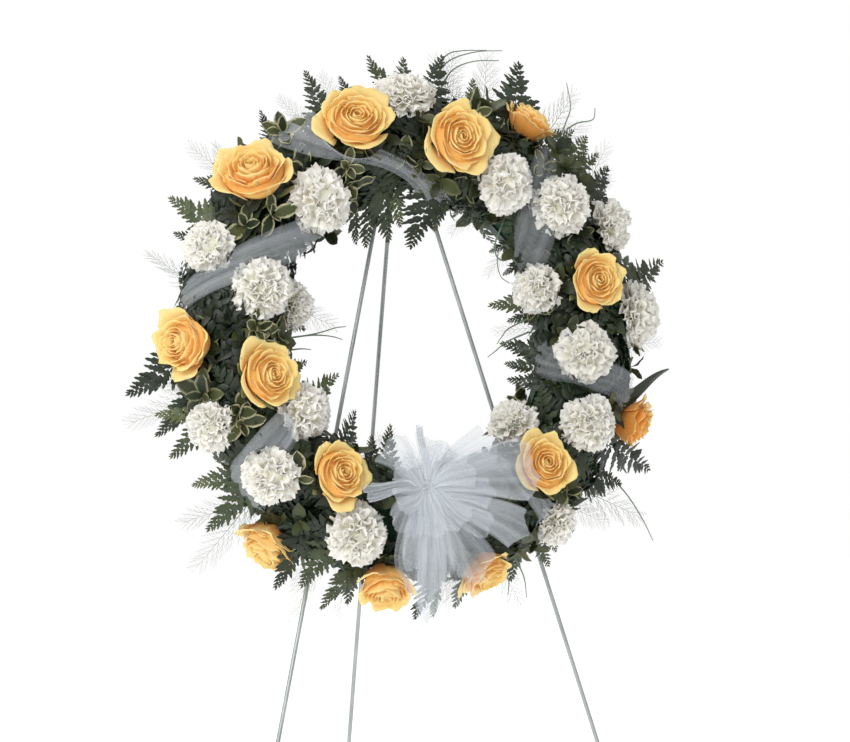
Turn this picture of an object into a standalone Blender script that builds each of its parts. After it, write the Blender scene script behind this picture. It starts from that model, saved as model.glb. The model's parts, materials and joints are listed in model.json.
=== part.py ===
"""Funeral wreath on a three-legged wire easel.

A wet-foam ring in a plastic tray hangs on the easel's hook and leans on its two front legs.
Roses, carnations and foliage stand in holes in the foam. A tulle band winds round the ring,
and a tulle bow with three tails sits at the bottom. The rear leg hinges on the crossbar.
Units are metres, +Z is up, and the wreath faces -Y.
"""

import bmesh
import bpy
from math import atan2, cos, pi, radians, sin, sqrt
from mathutils import Vector

# Easel
EASEL_X = 0.016                # sideways place of the crossbar's middle
EASEL_Y = -0.005
CROSSBAR_HEIGHT = 1.16
FRONT_FOOT_X = 0.334
FRONT_FOOT_FORWARD = 0.181
REAR_FOOT_BACK = 0.229
LEG_RADIUS = 0.0024
LEG_TOP_X = 0.014              # half the spacing of the front legs at the crossbar
LEG_TOP_RISE = 0.030           # how far the front legs stand above the crossbar
HOOK_RADIUS = 0.0020
FOOT_TIP_RADIUS = 0.0052
FOOT_TIP_LENGTH = 0.028
FIT_GAP = 0.0003               # gap between pieces that touch
LEAN = atan2(FRONT_FOOT_FORWARD, CROSSBAR_HEIGHT)

# Wreath base
RING_RADIUS = 0.218            # to the middle of the ring's tube
RING_DROP = 0.220              # ring centre below the crossbar
RING_X = -0.0213               # ring centre from the crossbar's middle
TRAY_STANDOFF = 0.0070         # tray's back face in front of the legs' centre plane
TRAY_HALF_WIDTH = 0.040
TRAY_WALL = 0.0020
TRAY_DEPTH = 0.0140
FOAM_HALF_WIDTH = 0.0375
FOAM_FRONT = 0.060
TUBE_V = 0.030                 # depth of the tube's centre in front of the tray's back
HEAD_REACH = 0.078             # flower head's middle from the tube's centre
STEM_RADIUS = 0.0020
STEM_GAP = 0.0004
STEM_END = 0.0100              # stem's buried end from the tube's centre
STEM_HOLE_END = 0.064          # drilled past the foam and the tulle band

X = Vector((1, 0, 0))
UP = Vector((0, sin(LEAN), cos(LEAN)))         # up along the legs' plane
OUT = Vector((0, -cos(LEAN), sin(LEAN)))       # forward out of the legs' plane
CROSSBAR = Vector((EASEL_X, EASEL_Y, CROSSBAR_HEIGHT))
RING_CENTRE = CROSSBAR + RING_X * X - RING_DROP * UP + TRAY_STANDOFF * OUT

# Flowers: name -> clock angle, tube angle, head radius, face angle, swing
ROSES = {
    "rose_01": (309, 57, 0.0445, 50, 20),
    "rose_02": (341, 66, 0.0430, 66, 0),
    "rose_03": (11, 90, 0.0395, 90, 0),
    "rose_04": (33, 26, 0.0330, 26, 0),
    "rose_05": (76, 94, 0.0395, 76, 0),
    "rose_06": (113, 26, 0.0355, 26, 0),
    "rose_07": (142, 103, 0.0385, 103, 0),
    "rose_08": (170, 40, 0.0340, 40, 0),
    "rose_09": (192, 22, 0.0360, 22, 0),
    "rose_10": (218, -15, 0.0350, -15, 0),
    "rose_11": (219, 100, 0.0385, 100, 0),
    "rose_12": (256, 90, 0.0375, 90, 0),
    "rose_13": (268, 33, 0.0395, 33, 0),
}
CARNATIONS = {
    "carnation_01": (358, 46, 0.0345, 46, 0),
    "carnation_02": (319, 116, 0.0355, 116, 0),
    "carnation_03": (291, 40, 0.0325, 40, 0),
    "carnation_04": (283, 100, 0.0350, 100, 0),
    "carnation_05": (32, 111, 0.0345, 111, 0),
    "carnation_06": (51, 87, 0.0345, 87, 0),
    "carnation_07": (64, 32, 0.0310, 32, 0),
    "carnation_08": (73, 152, 0.0310, 152, 0),
    "carnation_09": (99, 111, 0.0355, 111, 0),
    "carnation_10": (87, 34, 0.0330, 34, 0),
    "carnation_11": (121, 88, 0.0340, 88, 0),
    "carnation_12": (133, 158, 0.0315, 158, 0),
    "carnation_13": (147, 44, 0.0300, 44, 0),
    "carnation_14": (205, 62, 0.0350, 62, 0),
    "carnation_15": (232, 57, 0.0345, 57, 0),
    "carnation_16": (249, 31, 0.0320, 31, 0),
    "carnation_17": (241, 124, 0.0335, 124, 0),
    "carnation_18": (282, 157, 0.0280, 157, 0),
}
FLOWER_SIDES = 12
# Head outlines: radius and height in head radii, height 0 at the head's middle, lobe depth
ROSE_OUTLINE = [
    (0.15, -0.78, 0), (0.42, -0.66, 0), (0.80, -0.38, 0.02), (0.97, -0.02, 0.05), (1.00, 0.20, 0.07),
    (0.84, 0.28, 0.05), (0.70, 0.18, 0.03), (0.61, 0.42, 0.05), (0.46, 0.34, 0.03), (0.36, 0.54, 0.04),
    (0.16, 0.48, 0),
]
CARNATION_OUTLINE = [
    (0.16, -0.84, 0), (0.28, -0.58, 0), (0.66, -0.44, 0.03), (1.00, -0.12, 0.07), (0.96, 0.16, -0.08),
    (0.74, 0.44, 0.09), (0.34, 0.60, -0.10),
]

# Foliage: name -> clock, inner or outer side of the ring, blades.
# Blade: hub face, kind, tip clock, tip distance from the tube's middle line, tip depth, half width
FOLIAGE_V = 0.022
SPRAYS = {
    "fern_upper_left": (303, "outer", [
        ("back_turn", "fern", 291, 0.106, 0.010, 0.019), ("ahead", "fern", 302, 0.104, 0.030, 0.022),
        ("clock_turn", "leaf", 317, 0.094, 0.020, 0.016), ("front", "leaf", 301, 0.076, 0.056, 0.013)]),
    "fern_top_left": (344, "outer", [
        ("back_turn", "leaf", 330, 0.100, 0.012, 0.016), ("ahead", "fern", 342, 0.114, 0.028, 0.020),
        ("clock_turn", "fern", 355, 0.114, 0.010, 0.020), ("front", "leaf", 350, 0.084, 0.050, 0.010)]),
    "fern_top_right": (13, "outer", [
        ("back_turn", "fern", 3, 0.116, 0.024, 0.020), ("ahead", "fern", 13, 0.130, 0.012, 0.021),
        ("clock_turn", "fern", 26, 0.132, 0.022, 0.021), ("front", "leaf", 21, 0.076, 0.066, 0.014)]),
    "pittosporum_upper_right": (53, "outer", [
        ("back_turn", "leaf", 41, 0.122, 0.016, 0.018), ("ahead", "leaf", 52, 0.120, 0.028, 0.018),
        ("clock_turn", "fern", 64, 0.112, 0.010, 0.018), ("front", "leaf", 48, 0.078, 0.062, 0.014)]),
    "fern_right": (79, "outer", [
        ("back_turn", "fern", 72, 0.130, 0.014, 0.016), ("ahead", "fern", 81, 0.122, 0.026, 0.017),
        ("clock_turn", "leaf", 91, 0.108, 0.012, 0.017), ("front", "leaf", 76, 0.074, 0.062, 0.011)]),
    "fern_lower_right": (120, "outer", [
        ("back_turn", "fern", 98, 0.134, 0.018, 0.015), ("ahead", "fern", 118, 0.128, 0.008, 0.023),
        ("clock_turn", "fern", 131, 0.126, 0.020, 0.021), ("front", "leaf", 129, 0.074, 0.062, 0.014)]),
    "fern_bottom_right": (151, "outer", [
        ("back_turn", "fern", 140, 0.116, 0.016, 0.020), ("ahead", "fern", 151, 0.110, 0.028, 0.020),
        ("clock_turn", "fern", 164, 0.120, 0.012, 0.020), ("front", "leaf", 158, 0.074, 0.058, 0.013)]),
    "fern_bottom_left": (202, "outer", [
        ("back_turn", "fern", 187, 0.104, 0.019, 0.019), ("ahead", "fern", 199, 0.116, 0.006, 0.018),
        ("clock_turn", "fern", 209, 0.108, 0.029, 0.012), ("front", "leaf", 204, 0.066, 0.056, 0.010)]),
    "fern_left": (255, "outer", [
        ("back_turn", "fern", 238, 0.116, 0.020, 0.020), ("ahead", "fern", 251, 0.112, 0.010, 0.022),
        ("clock_turn", "fern", 262, 0.136, 0.020, 0.023), ("front", "leaf", 259, 0.076, 0.058, 0.012)]),
    "fern_inner_top": (352, "inner", [
        ("clock_turn", "fern", 12, -0.116, 0.006, 0.016), ("ahead", "fern", 353, -0.124, 0.030, 0.020),
        ("back_turn", "fern", 333, -0.106, 0.019, 0.015), ("front", "leaf", 350, -0.078, 0.056, 0.015)]),
    "fern_inner_right": (84, "inner", [
        ("clock_turn", "fern", 104, -0.102, 0.024, 0.013), ("ahead", "leaf", 84, -0.096, 0.006, 0.015),
        ("back_turn", "fern", 64, -0.106, 0.024, 0.013), ("front", "leaf", 88, -0.074, 0.054, 0.013)]),
    "fern_inner_left": (226, "inner", [
        ("clock_turn", "leaf", 245, -0.100, 0.026, 0.013), ("ahead", "fern", 226, -0.110, 0.006, 0.016),
        ("back_turn", "fern", 205, -0.106, 0.027, 0.015), ("front", "leaf", 224, -0.072, 0.056, 0.014)]),
}
SPRAY_HUB_HALF = 0.0026
SPRAY_THICKNESS = 0.0009       # half the blades' thickness
SPRAY_STEM_DEPTH = 0.016
SPRAY_STEM_RADIUS = SPRAY_HUB_HALF * 0.75 * sqrt(2)

# Tulle
TULLE_HALF = 0.0006            # half the band's thickness
BAND_HALF_WIDTH = 0.017
BAND_OUTER = [229, 281, 329, 43, 99]           # clock angle where each pass comes over the outer edge
BAND_INNER = [249, 314, 13, 66, 104]           # and where it leaves over the inner edge
BOW_CLOCK, BOW_U, BOW_V = 186, -0.029, 0.118
BOW_KNOT_RADIUS = 0.013
BOW_LOOP_HALF = 0.0015
# Bow loops: direction in degrees from the wreath's right, length, half width, forward lift
BOW_BACK_LOOPS = [
    (0, 0.098, 0.024, 0.010), (43, 0.112, 0.026, 0.002), (88, 0.076, 0.022, 0.012),
    (135, 0.080, 0.022, 0.003), (180, 0.058, 0.020, 0.016), (227, 0.066, 0.020, 0.010),
    (270, 0.116, 0.028, -0.005), (322, 0.132, 0.027, 0.010),
]
BOW_FRONT_LOOPS = [
    (8, 0.066, 0.018, 0.028), (52, 0.060, 0.014, 0.036), (96, 0.052, 0.015, 0.028),
    (136, 0.050, 0.013, 0.036), (176, 0.046, 0.015, 0.028), None, None, None,
]

COLOURS = {
    "easel": (0.42, 0.45, 0.45), "tip": (0.32, 0.34, 0.35), "hook": (0.40, 0.42, 0.42),
    "tray": (0.03, 0.07, 0.04), "foam": (0.07, 0.16, 0.09), "pad": (0.04, 0.08, 0.05), "rose": (0.90, 0.50, 0.15),
    "carnation": (0.86, 0.85, 0.80), "fern": (0.05, 0.12, 0.05), "pittosporum": (0.16, 0.24, 0.09),
    "tulle": (0.50, 0.55, 0.62),
}


def clear_scene():
    for thing in list(bpy.data.objects):
        bpy.data.objects.remove(thing, do_unlink=True)


def paint(obj, tint, roughness, metallic=0.0):
    mat = bpy.data.materials.new("mat_" + obj.name)
    mat.use_nodes = True
    shader = mat.node_tree.nodes["Principled BSDF"]
    shader.inputs["Base Color"].default_value = (*tint, 1.0)
    shader.inputs["Roughness"].default_value = roughness
    shader.inputs["Metallic"].default_value = metallic
    obj.data.materials.append(mat)


def solid(name, verts, faces, tint, roughness=0.6, metallic=0.0, smooth=True, origin=None):
    mesh = bpy.data.meshes.new(name)
    base = origin if origin is not None else Vector((0, 0, 0))
    mesh.from_pydata([tuple(v - base) for v in verts], [], faces)
    bm = bmesh.new()
    bm.from_mesh(mesh)
    bmesh.ops.recalc_face_normals(bm, faces=bm.faces)
    bm.to_mesh(mesh)
    bm.free()
    mesh.polygons.foreach_set("use_smooth", [smooth] * len(mesh.polygons))
    obj = bpy.data.objects.new(name, mesh)
    obj.location = base
    bpy.context.scene.collection.objects.link(obj)
    paint(obj, tint, roughness, metallic)
    return obj


def clock_axes(clock):
    turn = radians(clock)
    radial = sin(turn) * X + cos(turn) * UP
    along = cos(turn) * X - sin(turn) * UP
    return radial, along


def ring_point(clock, u, v):
    radial, along = clock_axes(clock)
    return RING_CENTRE + (RING_RADIUS + u) * radial + v * OUT


def tube_direction(clock, tube_angle):
    radial, along = clock_axes(clock)
    return cos(radians(tube_angle)) * radial + sin(radians(tube_angle)) * OUT


def plane_point(x, forward, height):
    return CROSSBAR + x * X + forward * OUT + height * UP


def ring_faces(rings, sides, close_start=True, close_end=True):
    faces = []
    for i in range(rings - 1):
        for k in range(sides):
            a, b = i * sides + k, i * sides + (k + 1) % sides
            faces.append((a, b, b + sides, a + sides))
    if close_start:
        faces.append(tuple(reversed(range(sides))))
    if close_end:
        faces.append(tuple(range((rings - 1) * sides, rings * sides)))
    return faces


def path_frames(points, side):
    """Direction, side and face axes at each point, carried along with no twist."""
    frames = []
    for i, point in enumerate(points):
        ahead = points[min(i + 1, len(points) - 1)] - points[max(i - 1, 0)]
        ahead.normalize()
        side = (side - side.dot(ahead) * ahead).normalized()
        frames.append((point, ahead, side, ahead.cross(side).normalized()))
    return frames


def rod_mesh(points, radius, sides=10, side=X):
    points = [Vector(p) for p in points]
    radii = radius if isinstance(radius, list) else [radius] * len(points)
    verts = []
    for (point, ahead, across, face), r in zip(path_frames(points, side), radii):
        for k in range(sides):
            turn = 2 * pi * k / sides
            verts.append(point + r * (cos(turn) * across + sin(turn) * face))
    return verts, ring_faces(len(points), sides)


def lathe_mesh(profile, segments):
    """Closed profile of (distance from the tube's middle line, depth) swung round the ring's axis."""
    count = len(profile)
    verts = [ring_point(360 * s / segments, u, v) for s in range(segments) for u, v in profile]
    faces = []
    for s in range(segments):
        for k in range(count):
            a, b = s * count + k, s * count + (k + 1) % count
            c = (s + 1) % segments * count
            faces.append((a, b, c + (k + 1) % count, c + k))
    return verts, faces


def bezier(a, b, c, steps):
    return [(1 - t) ** 2 * a + 2 * t * (1 - t) * b + t * t * c for t in (i / steps for i in range(steps + 1))]


# ---- easel ----

def front_leg(name, side):
    foot_height = -CROSSBAR_HEIGHT / cos(LEAN)
    foot = plane_point(side * FRONT_FOOT_X, 0, foot_height)
    bar = plane_point(side * LEG_TOP_X, 0, 0)
    ahead = (bar - foot).normalized()
    start = foot + ahead * 0.004
    top = bar + ahead * LEG_TOP_RISE
    verts, faces = rod_mesh([start, foot + (bar - foot) * 0.5, top], LEG_RADIUS, 10)
    solid(name, verts, faces, COLOURS["easel"], 0.35, 0.6)
    foot_tip(name.replace("front_leg", "foot_tip"), foot, ahead)


def foot_tip(name, foot, ahead, origin=None):
    """Vinyl cap on a leg's end, with a blind hole for the wire and a level underside."""
    side = (X - X.dot(ahead) * ahead).normalized()
    face = ahead.cross(side)
    sides = 12
    verts = []

    def add_ring(distance, radius, level=False):
        for k in range(sides):
            turn = 2 * pi * k / sides
            p = foot + distance * ahead + radius * (cos(turn) * side + sin(turn) * face)
            if level:
                p = p - ahead * (p.z / ahead.z)
            verts.append(p)

    bore = LEG_RADIUS + FIT_GAP
    add_ring(0.0037, bore)
    add_ring(FOOT_TIP_LENGTH, bore)
    add_ring(FOOT_TIP_LENGTH, bore + 0.0012)
    add_ring(FOOT_TIP_LENGTH - 0.004, FOOT_TIP_RADIUS - 0.0008)
    add_ring(0.006, FOOT_TIP_RADIUS)
    add_ring(0, FOOT_TIP_RADIUS, level=True)
    solid(name, verts, ring_faces(6, sides), COLOURS["tip"], 0.7, origin=origin)


def rear_leg():
    """Wire leg that winds once round the crossbar and ends in a tail that bears on the stop bar."""
    pivot = plane_point(0, -(2 * LEG_RADIUS + FIT_GAP), 0)
    reach = 2 * LEG_RADIUS + FIT_GAP
    foot = Vector((pivot.x - 0.0027, EASEL_Y + REAR_FOOT_BACK, 0))
    drop, back = pivot.z, foot.y - pivot.y
    lean = atan2(back, drop)
    for _ in range(6):
        drop = pivot.z + reach * sin(lean)
        lean = atan2(back - reach * cos(lean), drop)
    ahead = Vector((0, -sin(lean), cos(lean)))
    turns = [lean + 2 * pi * k / 14 for k in range(15)]
    coil = [pivot + Vector((-0.0027 + 0.0054 * k / 14, reach * cos(t), reach * sin(t)))
            for k, t in enumerate(turns)]
    tail = [coil[-1] + ahead * 0.008, coil[-1] + ahead * 0.019]
    start = foot + ahead * 0.004
    points = [start, start + (coil[0] - start) * 0.5] + coil + tail
    verts, faces = rod_mesh(points, LEG_RADIUS, 10)
    solid("rear_leg", verts, faces, COLOURS["easel"], 0.35, 0.6, origin=pivot)
    foot_tip("foot_tip_rear", foot, ahead, origin=pivot)


def easel():
    front_leg("front_leg_left", -1)
    front_leg("front_leg_right", 1)
    rear_leg()
    bar_depth = -(2 * LEG_RADIUS + FIT_GAP)
    verts, faces = rod_mesh([plane_point(x, bar_depth, 0) for x in (-0.020, 0, 0.020)], LEG_RADIUS, 14, UP)
    solid("top_crossbar", verts, faces, COLOURS["easel"], 0.35, 0.6)
    slope = (FRONT_FOOT_X - LEG_TOP_X) / (CROSSBAR_HEIGHT / cos(LEAN))
    height = 0.0142
    half = LEG_TOP_X - slope * height - LEG_RADIUS / cos(atan2(slope, 1)) - FIT_GAP - 0.0006
    verts, faces = rod_mesh([plane_point(x, 0.0, height) for x in (-half, half)], LEG_RADIUS, 12, UP)
    solid("stop_bar", verts, faces, COLOURS["easel"], 0.35, 0.6)
    base = height + LEG_RADIUS + FIT_GAP
    path = [(0, base), (0, 0.040), (0.0006, 0.0445), (0.0028, 0.0466), (0.0070, 0.0470), (0.0115, 0.0470),
            (0.0150, 0.0480), (0.0166, 0.0505), (0.0170, 0.0560)]
    verts, faces = rod_mesh([plane_point(0, w, h) for w, h in path], HOOK_RADIUS, 10)
    solid("wreath_hook", verts, faces, COLOURS["hook"], 0.35, 0.6)


# ---- wreath base ----

def wreath_base(cutter):
    wall, half = TRAY_WALL, TRAY_HALF_WIDTH
    tray = [(-half, 0), (half, 0), (half, TRAY_DEPTH), (half - wall, TRAY_DEPTH), (half - wall, wall),
            (wall - half, wall), (wall - half, TRAY_DEPTH), (-half, TRAY_DEPTH)]
    verts, faces = lathe_mesh(tray, 48)
    solid("ring_tray", verts, faces, COLOURS["tray"], 0.5, smooth=False)
    wide, low = FOAM_HALF_WIDTH, wall + 0.0004
    foam = [(-wide, low), (wide, low), (wide, 0.040), (0.031, 0.053), (0.016, FOAM_FRONT),
            (-0.016, FOAM_FRONT), (-0.031, 0.053), (-wide, 0.040)]
    verts, faces = lathe_mesh(foam, 48)
    ring = solid("foam_ring", verts, faces, COLOURS["foam"], 0.95, smooth=False)
    drill(ring, cutter)
    for name, x, height in (("tray_rib_left", -0.1258, -0.410), ("tray_rib_right", 0.1190, -0.385)):
        low, high = LEG_RADIUS + FIT_GAP, TRAY_STANDOFF - FIT_GAP
        verts = [plane_point(x + dx * 0.009, w, height + dh * 0.010)
                 for w in (low, high) for dx, dh in ((-1, -1), (1, -1), (1, 1), (-1, 1))]
        solid(name, verts, ring_faces(2, 4), COLOURS["pad"], 0.5, smooth=False)
    loop_depth, wire = 0.0115, 0.0012
    crown = 0.0470 + HOOK_RADIUS + wire + FIT_GAP
    floor = []
    for x in (-0.0165, -0.0105, 0.0105, 0.0165):
        reach = RING_RADIUS + TRAY_HALF_WIDTH + wire + FIT_GAP + 0.0002
        floor.append((x, sqrt(reach ** 2 - (x - RING_X) ** 2) - RING_DROP))
    path = [floor[0], floor[1], (-0.0085, 0.0440), (-0.0062, 0.0484), (-0.0025, crown), (0.0025, crown),
            (0.0062, 0.0484), (0.0085, 0.0440), floor[2], floor[3]]
    verts, faces = rod_mesh([plane_point(x, loop_depth, h) for x, h in path], wire, 8, OUT)
    solid("hanging_loop", verts, faces, COLOURS["hook"], 0.4, 0.6)


def drill(obj, cutter):
    cut = obj.modifiers.new("stem_holes", "BOOLEAN")
    cut.operation = "DIFFERENCE"
    cut.solver = "EXACT"
    cut.object = cutter


def stem_cutter():
    """One mesh of separate rods, a little wider than the stems, that drills the foam and the band."""
    verts, faces = [], []

    def add(start, end, radius, side):
        more_verts, more_faces = rod_mesh([start, end], radius, 8, side)
        base = len(verts)
        verts.extend(more_verts)
        faces.extend([tuple(base + k for k in face) for face in more_faces])

    for clock, tube_angle, *rest in list(ROSES.values()) + list(CARNATIONS.values()):
        axis = tube_direction(clock, tube_angle)
        middle = ring_point(clock, 0, TUBE_V)
        add(middle + axis * (STEM_END - 0.001), middle + axis * STEM_HOLE_END, STEM_RADIUS + STEM_GAP,
            clock_axes(clock)[1])
    bow_axis, reach = bow_pick()
    middle = ring_point(BOW_CLOCK, 0, TUBE_V)
    add(middle + bow_axis * (STEM_END - 0.001), middle + bow_axis * STEM_HOLE_END, STEM_RADIUS + STEM_GAP,
        clock_axes(BOW_CLOCK)[1])
    for clock, edge, blades in SPRAYS.values():
        sign = 1 if edge == "outer" else -1
        radial, along = clock_axes(clock)
        outside = ring_point(clock, sign * (FOAM_HALF_WIDTH + 0.002), FOLIAGE_V)
        inside = ring_point(clock, sign * (FOAM_HALF_WIDTH - SPRAY_STEM_DEPTH - 0.001), FOLIAGE_V)
        add(inside, outside, SPRAY_STEM_RADIUS + STEM_GAP, along)
    cutter = solid("stem_cutter", verts, faces, (0.5, 0.5, 0.5))
    cutter.hide_render = True
    cutter.display_type = "WIRE"
    return cutter


# ---- flowers ----

def flower(name, spec, outline, tint, lobes):
    """Stem, calyx and head as one swept solid. The head's rims are lobed like its petals."""
    clock, tube_angle, size, face_angle, swing = spec
    radial, along = clock_axes(clock)
    axis = tube_direction(clock, tube_angle)
    facing = tube_direction(clock, face_angle)
    facing = (cos(radians(swing)) * facing + sin(radians(swing)) * along).normalized()
    middle = ring_point(clock, 0, TUBE_V)
    head = middle + axis * HEAD_REACH
    neck = head + facing * (outline[0][1] * size - 0.002)
    rings = [(middle + axis * STEM_END, axis, STEM_RADIUS, 0)]
    if (axis - facing).length > 0.01:
        rings.append((middle + axis * 0.040, axis, STEM_RADIUS, 0))
    rings.append((neck, (axis + facing).normalized(), STEM_RADIUS, 0))
    for radius, height, lobe in outline:
        rings.append((head + facing * height * size, facing, radius * size, lobe))
    verts = []
    for index, (point, ahead, radius, lobe) in enumerate(rings):
        side = (along - along.dot(ahead) * ahead).normalized()
        face = ahead.cross(side)
        for k in range(FLOWER_SIDES):
            turn = 2 * pi * k / FLOWER_SIDES
            r = radius * (1 + lobe * cos(lobes * turn + 1.3 * index))
            verts.append(point + r * (cos(turn) * side + sin(turn) * face))
    solid(name, verts, ring_faces(len(rings), FLOWER_SIDES), tint, 0.6)


# ---- foliage, bow and tails: blades that grow from the faces of a small hub ----

def hub_mesh(centre, axis, side, corners, tiers, half, height, stem=None):
    """Corners of a prism round the axis, ring by ring. Its faces come last, once blades have joined it."""
    face = axis.cross(side)
    verts, rings = [], []

    def add_ring(offset, radius):
        rings.append(list(range(len(verts), len(verts) + corners)))
        for k in range(corners):
            turn = 2 * pi * (k - 0.5) / corners
            verts.append(centre + offset * axis + radius * (cos(turn) * side + sin(turn) * face))

    if stem:
        add_ring(-stem[0], stem[1])
        add_ring(-height * 0.5 - 0.0008, stem[1])
    radius = half / cos(pi / corners)
    for tier in range(tiers + 1):
        add_ring(height * (tier / tiers - 0.5), radius)
    return verts, rings


def grow(verts, faces, root, points, widths, thickness, wide_on_side, side):
    """Blade with a flat four-cornered section, grown from the quad of corners in root."""
    last = root
    for (point, ahead, across, face), wide in list(zip(path_frames(points, side), widths))[1:]:
        on_side, on_face = (wide, thickness) if wide_on_side else (thickness, wide)
        base = len(verts)
        for a, b in ((-1, -1), (1, -1), (1, 1), (-1, 1)):
            verts.append(point + a * on_side * across + b * on_face * face)
        order = match_corners(verts, last, list(range(base, base + 4)))
        for k in range(4):
            faces.append((last[k], last[(k + 1) % 4], order[(k + 1) % 4], order[k]))
        last = order
    faces.append(tuple(last))


def match_corners(verts, first, second):
    """Order the second quad's corners so that each one follows from its neighbour in the first."""
    best = None
    for ring in (second, second[::-1]):
        for shift in range(4):
            order = ring[shift:] + ring[:shift]
            cost = sum((verts[a] - verts[b]).length for a, b in zip(first, order))
            if best is None or cost < best[0]:
                best = (cost, order)
    return best[1]


def blade_outline(kind, steps, stalk):
    """Distance along the blade and its share of the full half width. A fern's edge is toothed."""
    if kind == "leaf":
        return [(0.0, 0.1), (stalk, 0.12), (0.40, 0.66), (0.55, 1.0), (0.72, 0.94), (0.87, 0.58), (1.0, 0.12)]
    outline = [(0.0, 0.1), (stalk, 0.10)]
    for tooth in range(steps):
        share = 1 - 0.85 * tooth / steps
        low, span = stalk + (0.98 - stalk) * tooth / steps, (0.98 - stalk) / steps
        outline += [(low + 0.14 * span, 0.56 * share), (low + 0.74 * span, share)]
    return outline + [(1.0, 0.04)]


def spray(name, clock, edge, blades):
    sign = 1 if edge == "outer" else -1
    radial, along = clock_axes(clock)
    axis = sign * radial
    hub_u = sign * (TRAY_HALF_WIDTH + SPRAY_HUB_HALF + 0.0020)
    centre = ring_point(clock, hub_u, FOLIAGE_V)
    stem_length = TRAY_HALF_WIDTH + SPRAY_HUB_HALF + 0.0020 - FOAM_HALF_WIDTH + SPRAY_STEM_DEPTH
    half = SPRAY_HUB_HALF
    verts, rings = hub_mesh(centre, axis, along, 4, 1, half, 2 * half,
                            (stem_length, SPRAY_STEM_RADIUS))
    faces, used = [], []
    normals = {"clock_turn": along, "back_turn": -along, "ahead": axis, "front": OUT}
    for hub_face, kind, tip_clock, tip_u, tip_v, half_width in blades:
        normal = normals[hub_face]
        tip = ring_point(tip_clock, tip_u, tip_v)
        start = centre + normal * half
        length = (tip - start).length
        reach = {"ahead": 0.45 * length, "front": 0.5 * length}.get(hub_face, 0.008)
        bend = start + normal * reach + axis * (0 if hub_face in ("ahead", "front") else 0.004)
        if hub_face != "front":
            bend += OUT * (tip_v - FOLIAGE_V)
        outline = blade_outline(kind, 5 if length > 0.06 else 4, 0.30 if "turn" in hub_face else 0.18)
        curve = bezier(start, bend, tip, 24)
        points = []
        for share, width in outline:
            place = share * 24
            low = min(int(place), 23)
            points.append(curve[low].lerp(curve[low + 1], place - low))
        widths = [half_width * width + 0.0006 for share, width in outline]
        root = hub_quad(rings, verts, normal, centre, half)
        used.append(frozenset(root))
        thin_axis = axis if hub_face == "front" else OUT
        grow(verts, faces, root, points, widths, SPRAY_THICKNESS, False, thin_axis)
    close_hub(faces, rings, used)
    solid(name, verts, faces, COLOURS["pittosporum" if "pitto" in name else "fern"], 0.55, smooth=False)


def hub_quad(rings, verts, normal, centre, half):
    """The four hub corners on the side the normal points to."""
    corners = rings[-1] + rings[-2]
    chosen = sorted(corners, key=lambda k: -(verts[k] - centre).dot(normal))[:4]
    middle = sum((verts[k] for k in chosen), Vector()) / 4
    first = verts[chosen[0]] - middle
    other = normal.cross(first)
    return sorted(chosen, key=lambda k: atan2((verts[k] - middle).dot(other), (verts[k] - middle).dot(first)))


def close_hub(faces, rings, used):
    count = len(rings[0])
    for low, high in zip(rings, rings[1:]):
        for k in range(count):
            quad = (low[k], low[(k + 1) % count], high[(k + 1) % count], high[k])
            if frozenset(quad) not in used:
                faces.append(quad)
    faces.append(tuple(rings[0]))
    if frozenset(rings[-1]) not in used:
        faces.append(tuple(rings[-1]))


def bow_pick():
    """Direction from the tube's middle to the bow's knot, and its length."""
    radial, along = clock_axes(BOW_CLOCK)
    reach = Vector((BOW_U, BOW_V - TUBE_V))
    direction = (BOW_U * radial + (BOW_V - TUBE_V) * OUT).normalized()
    return direction, reach.length


def bow():
    axis, reach = bow_pick()
    centre = ring_point(BOW_CLOCK, BOW_U, BOW_V)
    height = 0.022
    corners = 8
    verts, rings = hub_mesh(centre, OUT, X, corners, 2, BOW_KNOT_RADIUS, height)
    middle = ring_point(BOW_CLOCK, 0, TUBE_V)
    pick = []
    for distance in (STEM_END, 0.058, reach - height * 0.5 - 0.003):
        ring = []
        side = (X - X.dot(axis) * axis).normalized()
        face = axis.cross(side)
        for k in range(corners):
            turn = 2 * pi * (k - 0.5) / corners
            ring.append(len(verts))
            verts.append(middle + distance * axis + STEM_RADIUS * (cos(turn) * side + sin(turn) * face))
        pick.append(ring)
    rings = pick + rings
    faces, used = [], []
    for tier, loops in ((0, BOW_BACK_LOOPS), (1, BOW_FRONT_LOOPS)):
        for k, loop in enumerate(loops):
            if loop is None:
                continue
            degrees, length, half_width, lift = loop
            out_direction = cos(radians(degrees)) * X + sin(radians(degrees)) * UP
            low, high = rings[-3 + tier], rings[-2 + tier]
            root = [low[k], low[(k + 1) % corners], high[(k + 1) % corners], high[k]]
            start = sum((verts[j] for j in root), Vector()) / 4
            tip = centre + out_direction * length + OUT * lift
            bend = start + out_direction * length * 0.4 + OUT * (lift * 1.1 + 0.004 * tier)
            shares = [(0, 0.2), (0.22, 0.34), (0.45, 0.66), (0.66, 0.92), (0.84, 1.0), (0.95, 0.80),
                      (1.0, 0.45)]
            widths = [half_width * width for share, width in shares]
            curve = bezier(start, bend, tip, 24)
            points = [curve[round(share * 24)] for share, width in shares]
            across = OUT.cross(out_direction)
            grow(verts, faces, root, points, widths, BOW_LOOP_HALF, True, across)
            used.append(frozenset(root))
    close_hub(faces, rings, used)
    solid("tulle_bow", verts, faces, COLOURS["tulle"], 0.8, smooth=False)


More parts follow.
